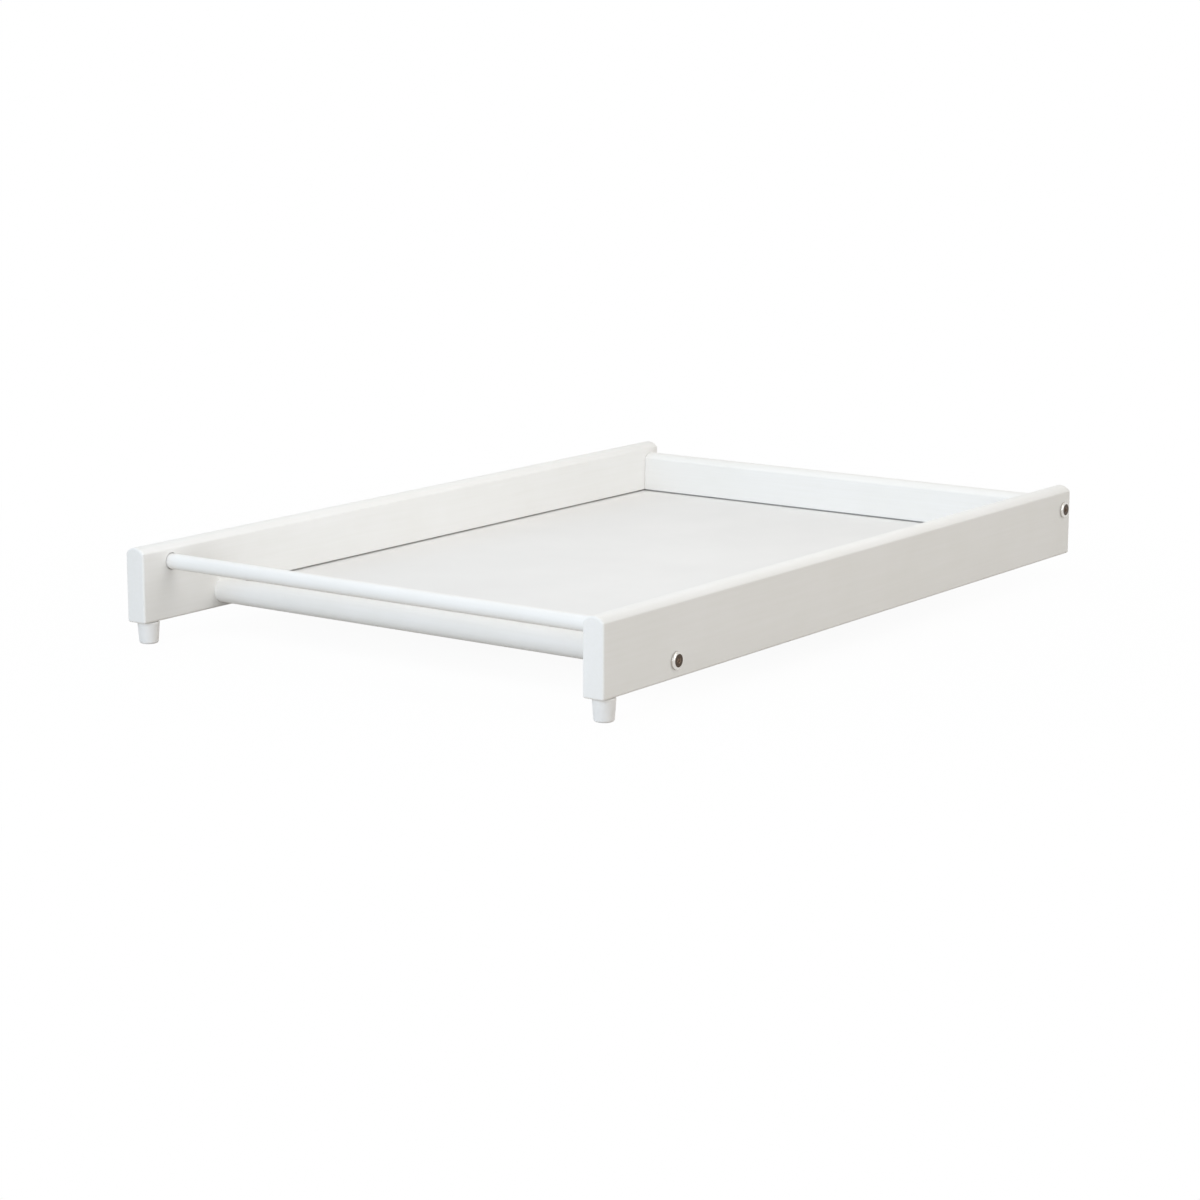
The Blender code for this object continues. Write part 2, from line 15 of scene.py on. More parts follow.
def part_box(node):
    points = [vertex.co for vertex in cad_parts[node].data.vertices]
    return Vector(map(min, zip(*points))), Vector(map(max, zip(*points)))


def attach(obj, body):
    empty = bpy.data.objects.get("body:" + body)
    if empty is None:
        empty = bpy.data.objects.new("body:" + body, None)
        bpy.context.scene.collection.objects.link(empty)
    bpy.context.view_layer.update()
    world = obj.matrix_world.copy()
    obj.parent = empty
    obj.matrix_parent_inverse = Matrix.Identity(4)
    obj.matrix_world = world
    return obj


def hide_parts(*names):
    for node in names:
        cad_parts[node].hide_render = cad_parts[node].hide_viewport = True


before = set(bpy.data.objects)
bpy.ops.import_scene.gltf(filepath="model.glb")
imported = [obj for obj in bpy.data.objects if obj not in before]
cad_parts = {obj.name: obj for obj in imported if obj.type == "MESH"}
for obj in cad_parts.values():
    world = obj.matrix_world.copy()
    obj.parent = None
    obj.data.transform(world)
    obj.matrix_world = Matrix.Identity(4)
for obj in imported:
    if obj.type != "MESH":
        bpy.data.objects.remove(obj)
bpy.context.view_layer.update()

# Crowned boards
CROWN_RISE = 0.0053
EDGE_ROUNDING = 0.0022
SIDE_END_ROUNDING = 0.002
REAR_END_ROUNDING = 0.0002
CROWN_FACETS = 32
EDGE_FACETS = 8
END_ROUNDING_STEPS = 6

# Base panel, and the grooves that hold it
GROOVE_DEPTH = 0.006
GROOVE_HEADROOM = 0.0017
GROOVE_FOOTROOM = 0.0003
GROOVE_END_PLAY = 0.0004
RAIL_GROOVE_DEPTH = 0.0055
PANEL_ARRIS = 0.0003

# Rails, and their sockets in the side boards
PANEL_RAIL_ARRIS = 0.0006
TOWEL_RAIL_ARRIS = 0.001
SOCKET_PLAY = 0.0003
SNUG_FIT = 0.00005
TOWEL_RAIL_CLEARANCE = 0.0007
TOWEL_RAIL_END_PLAY = 0.0006
SOCKET_MOUTH_ARRIS = 0.0001
ARRIS_FACETS = 4

# Locating pegs
PEG_TIP_DIAMETER = 0.0174
PEG_TIP_ROUNDING = 0.0022
PEG_SHOULDER_ROUNDING = 0.0014
SPIGOT_DIAMETER = 0.010
SPIGOT_ARRIS = 0.001
PEG_FACETS = 10

# Connector bolts: M6, with a 1 mm pitch and a 4 mm hexagon socket
BOLT_DIAMETER = 0.006
BOLT_HOLE_DIAMETER = 0.007
BOLT_HEAD_HEIGHT = 0.0026
BOLT_RIM_HEIGHT = 0.001
BOLT_FACE_DIAMETER = 0.0113
BOLT_RIM_FACETS = 10
BOLT_END_CHAMFER = 0.0008
HEX_SIDES = 6
HEX_KEY_SIZE = 0.004
HEX_SOCKET_DEPTH = 0.0021
HEX_LEAD_IN = 0.00025
# How much brighter the socket is painted: the key's wear, and a painted highlight on its walls
SOCKET_WEAR_AND_HIGHLIGHT = 0.6
THREAD_PITCH = 0.001
THREAD_DEPTH = 0.00061
THREAD_SIDES = 32
RINGS_PER_RIB = 6

# Threaded inserts, barrel nuts and dowels, which the boards hide
INSERT_BARB_PITCH = 0.00375
INSERT_BARB_DEPTH = 0.0005
INSERT_BORE = 0.0066
PILOT_DIAMETER = 0.0072
PILOT_DEPTH = 0.034
NUT_CHAMFER = 0.0004
NUT_SLOT_WIDTH = 0.0012
NUT_SLOT_DEPTH = 0.0014
NUT_BORE = 0.0066
DOWEL_CHAMFER = 0.001
DOWEL_IN_SIDE_BOARD = 0.012
FLUTES = 14
FLUTE_DEPTH = 0.0004
FLUTE_SIDES = 84

# Meshes
CUT_OVERRUN = 0.004
WELD_DISTANCE = 1e-7
ROUND_SIDES = 96
SMALL_SIDES = 48
SHARP_ANGLE = math.radians(34)
FACE_AREA_WEIGHT = 100
QUARTER_TURN = math.pi / 2

# Materials: the range that most of a noise keeps to, the bands in one unit of a wave texture,
# and the sockets of a mix node that hold its colours
NOISE_LOW, NOISE_HIGH = 0.3, 0.7
NOISE_SPAN = {"From Min": NOISE_LOW, "From Max": NOISE_HIGH}
WAVE_BANDS = 20 / math.tau
MIX_COLOUR_A, MIX_COLOUR_B, MIX_COLOUR_OUT = 6, 7, 2

# Camera, from the photograph's own perspective in its frame of 1200 by 1200
FRAME_PIXELS = 1200
FOCAL_PIXELS = 3017.91
SENSOR_WIDTH = 36
CAMERA_PLACE = (1.62129, -2.29317, 0.57547)
CAMERA_HEADING = math.radians(35.758)
CAMERA_DIP = math.radians(11.463)
CAMERA_ROLL = math.radians(0.083)

# Lamps: name, place, what it faces, size, colour, and its brightness whatever its size
STUDIO_LAMPS = (
    ("overhead soft box", (0, 0, 1.3), (0, 0, 0), 1.2, "#FFFAF2", 0.33),
    ("rear overhead soft box", (0, 0.6, 1.2), (0, 0, 0), 1.0, "#FFF0DC", 0.3),
    ("low overhead lamp", (0.08, 0, 0.7), (0, 0, 0), 0.5, "#FAFCFF", 1.12),
    ("high right fill", (2.2, -0.2, 1.8), (0, 0, 0.05), 1.6, "#FFFFFA", 1.16),
    ("low right fill", (2.8, 0.3, 0.5), (0, 0, 0.05), 1.4, "#FDFDFF", 2.14),
    ("high left fill", (-2.2, 0, 1.8), (0, 0, 0.05), 1.6, "#DEF0FF", 1.0),
    ("far front fill", (-0.6, -2.8, 0.6), (0, 0, 0.05), 1.6, "#CAE7FF", 1.95),
    ("near front soft box", (0.3, -1.6, 0.45), (0, 0, 0.05), 0.8, "#E6F2FF", 2.2),
    ("front floor lamp", (0.1, -1.4, 0.27), (0, -0.3, 0.06), 0.5, "#F6F6FF", 2.36),
)
AMBIENT_LEVEL = 0.5

# Floor
FLOOR_SIZE = 12
FLOOR_CARD_COLOUR = "#F6F6F6"
FLOOR_BOUNCE_COLOUR = "#AEA69A"
FLOOR_SHADOW_SHARE = 0.1
FLOOR_SHADOW_REACH = 0.9


def linear(code):
    """An sRGB hex colour as the linear colour that a shader takes."""
    channels = [int(code[i : i + 2], 16) / 255 for i in (1, 3, 5)]
    return (*(c / 12.92 if c <= 0.04045 else ((c + 0.055) / 1.055) ** 2.4 for c in channels), 1)


def add_node(tree, kind, inputs=None, **settings):
    """Adds a node with its settings. An input is a value, or a socket or a node to link from."""
    node = tree.nodes.new(kind)
    for name, value in settings.items():
        setattr(node, name, value)
    for name, value in (inputs or {}).items():
        if isinstance(value, bpy.types.Node):
            value = value.outputs[0]
        if isinstance(value, bpy.types.NodeSocket):
            tree.links.new(value, node.inputs[name])
        else:
            node.inputs[name].default_value = value
    return node


# Materials


def new_material(name):
    """A material with an empty tree, and the object coordinates that its patterns read."""
    material = bpy.data.materials.new(name)
    material.use_nodes = True
    material.node_tree.nodes.clear()
    spot = add_node(material.node_tree, "ShaderNodeTexCoord")
    return material, material.node_tree, spot.outputs["Object"]


def paint(ramp_node, *stops):
    """Sets the stops of a colour ramp, each a place and a hex colour."""
    elements = ramp_node.color_ramp.elements
    while len(elements) < len(stops):
        elements.new(0.5)
    for element, (position, code) in zip(elements, stops):
        element.position, element.color = position, linear(code)


def lacquered_beech(name, grain_axis):
    """Beech under white satin lacquer, sprayed in thin coats and sanded between them.

    The lacquer hides the wood's colour, but it sinks a little over the pores, and its own skin
    has a faint orange peel. The eye gets a soft, slightly uneven gloss that runs with the grain.
    """
    material, tree, place = new_material(name)

    # Beech pores are 0.1 by 5 mm, too fine to show here, so they are drawn 2.5 by 90 mm
    pore_width, pore_length = 0.0025, 0.090
    stretch = [1 / (pore_length if axis == grain_axis else pore_width) for axis in range(3)]
    lengthened = add_node(tree, "ShaderNodeMapping", {"Vector": place, "Scale": stretch})
    grain = add_node(
        tree,
        "ShaderNodeTexNoise",
        {"Vector": lengthened, "Scale": 1, "Detail": 4, "Roughness": 0.55, "Distortion": 0.3},
    )
    # Orange peel in sprayed lacquer, 1.5 mm across
    peel = add_node(
        tree, "ShaderNodeTexNoise", {"Vector": place, "Scale": 1 / 0.0015, "Detail": 1.5}
    )
    # Cloudy differences in film thickness, 60 mm across
    clouds = add_node(
        tree, "ShaderNodeTexNoise", {"Vector": place, "Scale": 1 / 0.060, "Detail": 3}
    )
    # Both shift the tone about the middle of the ramp, each by its weight
    grain_weight, cloud_weight, middle = 0.45, 0.5, 0.75
    base = middle - (grain_weight + cloud_weight) / 2
    shade = add_node(
        tree, "ShaderNodeMath", {0: grain, 1: grain_weight, 2: base}, operation="MULTIPLY_ADD"
    )
    mottle = add_node(
        tree, "ShaderNodeMath", {0: clouds, 1: cloud_weight, 2: shade}, operation="MULTIPLY_ADD"
    )
    colour = add_node(tree, "ShaderNodeValToRGB", {"Fac": mottle})
    paint(colour, (0.55, "#EFEEEA"), (0.95, "#F4F3F1"))
    gloss = add_node(
        tree, "ShaderNodeMapRange", {"Value": grain, **NOISE_SPAN, "To Min": 0.5, "To Max": 0.58}
    )
    sunk = add_node(
        tree, "ShaderNodeBump", {"Strength": 0.10, "Distance": 0.00020, "Height": grain}
    )
    skin = add_node(
        tree,
        "ShaderNodeBump",
        {"Strength": 0.12, "Distance": 0.00006, "Height": peel, "Normal": sunk},
    )
    surface = add_node(
        tree,
        "ShaderNodeBsdfPrincipled",
        {"Base Color": colour, "Roughness": gloss, "Normal": skin, "IOR": 1.5},
    )
    add_node(tree, "ShaderNodeOutputMaterial", {"Surface": surface})
    return material


def melamine_faced_panel():
    """Fibreboard with a white melamine facing, pressed between steel plates.

    The plates leave a fine, even pebble, so the panel is duller than the boards and shows no
    grain. Its colour hardly varies.
    """
    material, tree, place = new_material("white melamine facing")

    # The pebble is 0.3 mm, too fine to show, so it is drawn at 1.1 mm
    pebble = add_node(
        tree, "ShaderNodeTexVoronoi", {"Vector": place, "Scale": 1 / 0.0011}, feature="SMOOTH_F1"
    )
    # Slow waviness of pressed board, 80 mm across
    wave = add_node(tree, "ShaderNodeTexNoise", {"Vector": place, "Scale": 1 / 0.080, "Detail": 2})
    colour = add_node(tree, "ShaderNodeValToRGB", {"Fac": wave})
    paint(colour, (NOISE_LOW, "#E9E8E6"), (NOISE_HIGH, "#EDECEA"))
    gloss = add_node(
        tree, "ShaderNodeMapRange", {"Value": wave, **NOISE_SPAN, "To Min": 0.46, "To Max": 0.54}
    )
    bump = add_node(
        tree, "ShaderNodeBump", {"Strength": 0.15, "Distance": 0.00005, "Height": pebble}
    )
    surface = add_node(
        tree,
        "ShaderNodeBsdfPrincipled",
        {"Base Color": colour, "Roughness": gloss, "Normal": bump, "IOR": 1.5},
    )
    add_node(tree, "ShaderNodeOutputMaterial", {"Surface": surface})
    return material


def moulded_polypropylene():
    """White polypropylene, injection moulded in a spark-eroded tool.

    The tool's fine matt texture gives a soft sheen, and the resin is a little greyer and cooler
    than the lacquer beside it.
    """
    material, tree, place = new_material("white moulded polypropylene")

    # Spark erosion leaves 0.05 mm pits, too fine to show, so they are drawn at 0.5 mm
    pits = add_node(
        tree,
        "ShaderNodeTexNoise",
        {"Vector": place, "Scale": 1 / 0.0005, "Detail": 2, "Roughness": 0.6},
    )
    # Flow marks round the gate, 12 mm across
    flow = add_node(tree, "ShaderNodeTexNoise", {"Vector": place, "Scale": 1 / 0.012, "Detail": 2})
    colour = add_node(tree, "ShaderNodeValToRGB", {"Fac": flow})
    paint(colour, (NOISE_LOW, "#EDECEA"), (NOISE_HIGH, "#F3F2F0"))
    gloss = add_node(
        tree, "ShaderNodeMapRange", {"Value": pits, **NOISE_SPAN, "To Min": 0.38, "To Max": 0.5}
    )
    bump = add_node(
        tree, "ShaderNodeBump", {"Strength": 0.15, "Distance": 0.00004, "Height": pits}
    )
    surface = add_node(
        tree,
        "ShaderNodeBsdfPrincipled",
        {"Base Color": colour, "Roughness": gloss, "Normal": bump, "IOR": 1.49},
    )
    add_node(tree, "ShaderNodeOutputMaterial", {"Surface": surface})
    return material


def bronze_plated_steel():
    """Cold-headed steel with a dark bronze plating, tumbled after plating.

    Tumbling rubs the plating off where a head stands proud, and the bevelled rim is painted as
    bright metal round a dark brown face, which is also a painted highlight that the rim catches.
    The attribute read below is 1 on the rim, 0 on the face and in between in the socket, which
    is painted lighter for the key's wear and as a painted highlight on its walls.
    """
    material, tree, place = new_material("dark bronze plated steel")
    # Rim and socket are painted brighter, partly as rubbed plating and partly as a painted
    # highlight
    rubbed_and_highlit = add_node(tree, "ShaderNodeAttribute", attribute_name="rubbed_and_highlit").outputs["Fac"]

    # Patches where the plating is thinner, 1.2 mm across
    patches = add_node(
        tree, "ShaderNodeTexNoise", {"Vector": place, "Scale": 1 / 0.0012, "Detail": 4}
    )
    # Scratches from tumbling are 0.02 mm wide, too fine to show, so they are drawn at 0.2 mm
    scratches = add_node(
        tree,
        "ShaderNodeTexNoise",
        {"Vector": place, "Scale": 1 / 0.0002, "Detail": 2, "Roughness": 0.7},
    )
    spread = 0.16
    plating_tone = add_node(
        tree, "ShaderNodeMath", {0: patches, 1: spread, 2: -spread / 2}, operation="MULTIPLY_ADD"
    )
    worn_and_highlit = add_node(
        tree, "ShaderNodeMath", {0: rubbed_and_highlit, 1: plating_tone}, operation="ADD", use_clamp=True
    )
    # Dark brown on the face up to bright metal on the rim, whose brightness is partly painted
    # highlight
    colour = add_node(tree, "ShaderNodeValToRGB", {"Fac": worn_and_highlit})
    paint(colour, (0, "#4B3E33"), (0.5, "#A08E7F"), (0.85, "#D6D3CE"))
    gloss = add_node(
        tree, "ShaderNodeMapRange", {"Value": worn_and_highlit, "To Min": 0.34, "To Max": 0.16}
    )
    bump = add_node(
        tree, "ShaderNodeBump", {"Strength": 0.2, "Distance": 0.00002, "Height": scratches}
    )
    surface = add_node(
        tree,
        "ShaderNodeBsdfPrincipled",
        {"Base Color": colour, "Metallic": 1, "Roughness": gloss, "Normal": bump},
    )
    add_node(tree, "ShaderNodeOutputMaterial", {"Surface": surface})
    return material


def zinc_plated_steel():
    """Turned free-cutting steel with bright zinc plating, as on furniture hardware.

    Zinc dulls to a bluish grey in soft clouds, over faint rings left by the lathe tool.
    """
    material, tree, place = new_material("zinc plated steel")

    # Dull clouds in the zinc, 3 mm across
    clouds = add_node(
        tree, "ShaderNodeTexNoise", {"Vector": place, "Scale": 1 / 0.003, "Detail": 3}
    )
    # Lathe marks are 0.1 mm apart, too fine to show, so they are drawn 0.79 mm apart
    marks = add_node(
        tree,
        "ShaderNodeTexWave",
        {"Vector": place, "Scale": 1 / 0.00079 / WAVE_BANDS, "Distortion": 1.5},
        bands_direction="X",
    )
    colour = add_node(tree, "ShaderNodeValToRGB", {"Fac": clouds})
    paint(colour, (NOISE_LOW, "#AEB1B3"), (NOISE_HIGH, "#CBCDCE"))
    gloss = add_node(
        tree, "ShaderNodeMapRange", {"Value": clouds, **NOISE_SPAN, "To Min": 0.42, "To Max": 0.3}
    )
    bump = add_node(
        tree,
        "ShaderNodeBump",
        {"Strength": 0.15, "Distance": 0.00003, "Height": marks.outputs["Fac"]},
    )
    surface = add_node(
        tree,
        "ShaderNodeBsdfPrincipled",
        {"Base Color": colour, "Metallic": 1, "Roughness": gloss, "Normal": bump},
    )
    add_node(tree, "ShaderNodeOutputMaterial", {"Surface": surface})
    return material


def bare_beech():
    """Bare beech dowel rod, fluted under pressure: warm and dull, with short brown ray flecks."""
    material, tree, place = new_material("bare fluted beech")

    # Growth rings 2 mm apart, drawn out along the dowel
    ring_places = add_node(
        tree, "ShaderNodeMapping", {"Vector": place, "Scale": (1 / 0.030, 1 / 0.002, 1 / 0.002)}
    )
    rings = add_node(tree, "ShaderNodeTexNoise", {"Vector": ring_places, "Scale": 1, "Detail": 4})
    # Ray flecks are 0.3 by 2 mm, at their real size, each in a cell twice as long and wide
    fleck_places = add_node(
        tree, "ShaderNodeMapping", {"Vector": place, "Scale": (1 / 0.004, 1 / 0.0006, 1 / 0.0006)}
    )
    flecks = add_node(tree, "ShaderNodeTexVoronoi", {"Vector": fleck_places, "Scale": 1})
    fleck_weight = 0.3
    tone = add_node(
        tree, "ShaderNodeMath", {0: flecks, 1: fleck_weight, 2: rings}, operation="MULTIPLY_ADD"
    )
    colour = add_node(tree, "ShaderNodeValToRGB", {"Fac": tone})
    paint(colour, (0.35, "#C89B6E"), (0.85, "#E2C197"))
    gloss = add_node(
        tree, "ShaderNodeMapRange", {"Value": rings, **NOISE_SPAN, "To Min": 0.72, "To Max": 0.62}
    )
    bump = add_node(
        tree, "ShaderNodeBump", {"Strength": 0.3, "Distance": 0.00008, "Height": rings}
    )
    surface = add_node(
        tree,
        "ShaderNodeBsdfPrincipled",
        {"Base Color": colour, "Roughness": gloss, "Normal": bump, "IOR": 1.5},
    )
    add_node(tree, "ShaderNodeOutputMaterial", {"Surface": surface})
    return material


# Rules that Geometry Nodes follow


def new_rule(name, inputs):
    """An empty tree with named inputs. Returns it with the sockets that hold them."""
    tree = bpy.data.node_groups.new(name, "GeometryNodeTree")
    tree.interface.new_socket("Geometry", in_out="INPUT", socket_type="NodeSocketGeometry")
    for socket_name, kind in inputs.items():
        tree.interface.new_socket(socket_name, in_out="INPUT", socket_type=kind)
    tree.interface.new_socket("Geometry", in_out="OUTPUT", socket_type="NodeSocketGeometry")
    return tree, add_node(tree, "NodeGroupInput").outputs


def end_rule(tree, geometry, material):
    """Ends a tree as the export needs it: real geometry with its material set."""
    real = add_node(tree, "GeometryNodeRealizeInstances", {"Geometry": geometry})
    clad = add_node(tree, "GeometryNodeSetMaterial", {"Geometry": real, "Material": material})
    add_node(tree, "NodeGroupOutput", {"Geometry": clad})


def crowned_board_rule():
    """Sweeps a board's end section along Y, and draws it in round both ends.

    Rings crowd into the two roundings. From a ring to the next the angle on the rounding grows
    by one step, and it gives both the ring's place and how far the section is drawn in there.
    """
    tree, given = new_rule(
        "crowned board",
        {
            "Length": "NodeSocketFloat",
            "End Rounding": "NodeSocketFloat",
            "Steps": "NodeSocketInt",
            "Material": "NodeSocketMaterial",
        },
    )
    # Counted in half steps from the middle, rings stand at 1, 3, 5 and so on up to the span
    span = add_node(
        tree, "ShaderNodeMath", {0: given["Steps"], 1: 2, 2: 1}, operation="MULTIPLY_ADD"
    )
    rings = add_node(tree, "ShaderNodeMath", {0: span, 1: 1}, operation="ADD")
    line = add_node(
        tree, "GeometryNodeCurvePrimitiveLine", {"Start": (0, -1, 0), "End": (0, 1, 0)}
    )
    dotted = add_node(tree, "GeometryNodeResampleCurve", {"Curve": line, "Count": rings})
    index = add_node(tree, "GeometryNodeInputIndex")
    doubled = add_node(tree, "ShaderNodeMath", {0: index, 1: 2}, operation="MULTIPLY")
    signed = add_node(tree, "ShaderNodeMath", {0: doubled, 1: span}, operation="SUBTRACT")
    size = add_node(tree, "ShaderNodeMath", {0: signed}, operation="ABSOLUTE")
    angle = add_node(
        tree,
        "ShaderNodeMapRange",
        {"Value": size, "From Min": 1, "From Max": span, "To Min": 0, "To Max": QUARTER_TURN},
    )

    # The ring's place, which falls short of the end by 1 - sin of the angle
    sine = add_node(tree, "ShaderNodeMath", {0: angle}, operation="SINE")
    short = add_node(tree, "ShaderNodeMath", {0: sine, 1: 1}, operation="SUBTRACT")
    half = add_node(tree, "ShaderNodeMath", {0: given["Length"], 1: 0.5}, operation="MULTIPLY")
    reach = add_node(
        tree,
        "ShaderNodeMath",
        {0: given["End Rounding"], 1: short, 2: half},
        operation="MULTIPLY_ADD",
    )
    end = add_node(tree, "ShaderNodeMath", {0: signed}, operation="SIGN")
    y = add_node(tree, "ShaderNodeMath", {0: reach, 1: end}, operation="MULTIPLY")
    spot = add_node(tree, "ShaderNodeCombineXYZ", {"Y": y})
    spaced = add_node(tree, "GeometryNodeSetPosition", {"Geometry": dotted, "Position": spot})

    # How far the section is drawn in there, which is 1 - cos of the angle
    cosine = add_node(tree, "ShaderNodeMath", {0: angle}, operation="COSINE")
    lean = add_node(tree, "ShaderNodeMath", {0: cosine, 1: 1}, operation="SUBTRACT")
    moved_out = add_node(
        tree, "ShaderNodeMath", {0: given["End Rounding"], 1: lean}, operation="MULTIPLY"
    )
    kept = add_node(tree, "GeometryNodeCaptureAttribute", {"Geometry": spaced})
    kept.capture_items.new("FLOAT", "Moved Out")
    tree.links.new(moved_out.outputs[0], kept.inputs["Moved Out"])
    section = add_node(tree, "GeometryNodeMeshToCurve", {"Mesh": given["Geometry"]})
    swept = add_node(
        tree,
        "GeometryNodeCurveToMesh",
        {"Curve": kept, "Profile Curve": section, "Fill Caps": True},
    )
    outward = add_node(
        tree, "GeometryNodeInputNamedAttribute", {"Name": "outward"}, data_type="FLOAT_VECTOR"
    )
    offset = add_node(
        tree,
        "ShaderNodeVectorMath",
        {0: outward, "Scale": kept.outputs["Moved Out"]},
        operation="SCALE",
    )
    rounded = add_node(tree, "GeometryNodeSetPosition", {"Geometry": swept, "Offset": offset})
    end_rule(tree, rounded, given["Material"])
    return tree


def ribbed_bar_rule():
    """A bar along Z whose skin follows one wave, which a thread, flutes and barbs all are.

    Ribs Round counts the ribs that pass a turn of the bar, and Ribs Along those in a metre. One
    rib round with many along is a screw thread, none along is flutes, and none round is barbs.
    """
    tree, given = new_rule(
        "ribbed bar",
        {
            "Radius": "NodeSocketFloat",
            "Length": "NodeSocketFloat",
            "Sides": "NodeSocketInt",
            "Rings": "NodeSocketInt",
            "Ribs Round": "NodeSocketInt",
            "Ribs Along": "NodeSocketFloat",
            "Rib Depth": "NodeSocketFloat",
            "End Chamfer": "NodeSocketFloat",
            "Material": "NodeSocketMaterial",
        },
    )
    bar = add_node(
        tree,
        "GeometryNodeMeshCylinder",
        {
            "Vertices": given["Sides"],
            "Side Segments": given["Rings"],
            "Radius": given["Radius"],
            "Depth": given["Length"],
        },
    )
    place = add_node(tree, "GeometryNodeInputPosition")
    x, y, z = add_node(tree, "ShaderNodeSeparateXYZ", {"Vector": place}).outputs

    # The wave's depth at a point, from 0 on a rib's crest to 1 in the valley beside it
    angle = add_node(tree, "ShaderNodeMath", {0: y, 1: x}, operation="ARCTAN2")
    turns = add_node(tree, "ShaderNodeMath", {0: angle, 1: math.tau}, operation="DIVIDE")
    along = add_node(tree, "ShaderNodeMath", {0: z, 1: given["Ribs Along"]}, operation="MULTIPLY")
    phase = add_node(
        tree,
        "ShaderNodeMath",
        {0: turns, 1: given["Ribs Round"], 2: along},
        operation="MULTIPLY_ADD",
    )
    folded = add_node(tree, "ShaderNodeMath", {0: phase, 1: 0.5}, operation="PINGPONG")
    wave = add_node(tree, "ShaderNodeMath", {0: folded, 1: 2}, operation="MULTIPLY")
    carved_off = add_node(
        tree, "ShaderNodeMath", {0: wave, 1: given["Rib Depth"]}, operation="MULTIPLY"
    )

    # The chamfer, which takes over from the wave near the ends
    half = add_node(tree, "ShaderNodeMath", {0: given["Length"], 1: 0.5}, operation="MULTIPLY")
    height = add_node(tree, "ShaderNodeMath", {0: z}, operation="ABSOLUTE")
    from_end = add_node(tree, "ShaderNodeMath", {0: half, 1: height}, operation="SUBTRACT")
    chamfer = add_node(
        tree, "ShaderNodeMath", {0: given["End Chamfer"], 1: from_end}, operation="SUBTRACT"
    )
    deeper = add_node(tree, "ShaderNodeMath", {0: carved_off, 1: chamfer}, operation="MAXIMUM")
    lost = add_node(tree, "ShaderNodeMath", {0: deeper, 1: 0}, operation="MAXIMUM")
    left = add_node(tree, "ShaderNodeMath", {0: given["Radius"], 1: lost}, operation="SUBTRACT")
    share = add_node(tree, "ShaderNodeMath", {0: left, 1: given["Radius"]}, operation="DIVIDE")
    shrink = add_node(tree, "ShaderNodeCombineXYZ", {"X": share, "Y": share, "Z": 1})
    moved = add_node(tree, "ShaderNodeVectorMath", {0: place, 1: shrink}, operation="MULTIPLY")
    ribbed = add_node(tree, "GeometryNodeSetPosition", {"Geometry": bar, "Position": moved})
    end_rule(tree, ribbed, given["Material"])
    return tree


def pair_rule():
    """Stands a piece at the right side of the tray, and again at the left side, turned round."""
    tree, given = new_rule(
        "pair across the tray",
        {"Place": "NodeSocketVector", "Material": "NodeSocketMaterial"},
    )
    x, y, z = add_node(tree, "ShaderNodeSeparateXYZ", {"Vector": given["Place"]}).outputs
    left_x = add_node(tree, "ShaderNodeMath", {0: x, 1: -1}, operation="MULTIPLY")
    across = add_node(tree, "ShaderNodeMath", {0: x, 1: 2}, operation="MULTIPLY")
    start = add_node(tree, "ShaderNodeCombineXYZ", {"X": left_x, "Y": y, "Z": z})
    step = add_node(tree, "ShaderNodeCombineXYZ", {"X": across})
    spots = add_node(
        tree, "GeometryNodeMeshLine", {"Count": 2, "Start Location": start, "Offset": step}
    )
    index = add_node(tree, "GeometryNodeInputIndex")
    turn = add_node(
        tree, "ShaderNodeMath", {0: index, 1: -math.pi, 2: math.pi}, operation="MULTIPLY_ADD"
    )
    way = add_node(tree, "ShaderNodeCombineXYZ", {"Z": turn})
    both = add_node(
        tree,
        "GeometryNodeInstanceOnPoints",
        {"Points": spots, "Instance": given["Geometry"], "Rotation": way},
    )
    end_rule(tree, both, given["Material"])
    return tree


def grown(name, source, tree, values):
    """The plain mesh that a tree makes of a source mesh."""
    blank = bpy.data.objects.new(name, source)
    bpy.context.scene.collection.objects.link(blank)
    rule = blank.modifiers.new(name, "NODES")
    rule.node_group = tree
    for socket in tree.interface.items_tree:
        if socket.in_out == "INPUT" and socket.name in values:
            rule[socket.identifier] = values[socket.name]
    return settled(blank)


def settled(blank):
    """The evaluated mesh of an object with modifiers, which is then removed."""
    bpy.context.view_layer.update()
    graph = bpy.context.evaluated_depsgraph_get()
    mesh = bpy.data.meshes.new_from_object(blank.evaluated_get(graph))
    mesh.name = blank.name
    bpy.data.objects.remove(blank, do_unlink=True)
    return mesh


# Shapes


def arc(centre, radii, start, end, facets):
    """Points on an arc or a part of an ellipse, with both ends. Angles run from +X."""
    return [
        (
            centre[0] + radii[0] * math.cos(start + (end - start) * i / facets),
            centre[1] + radii[1] * math.sin(start + (end - start) * i / facets),
        )
        for i in range(facets + 1)
    ]


def eased_rim(radius, height, easing, facets=ARRIS_FACETS):
    """The quarter of a circle that rounds the upper rim of a turned piece."""
    return arc((radius - easing, height - easing), (easing, easing), 0, QUARTER_TURN, facets)


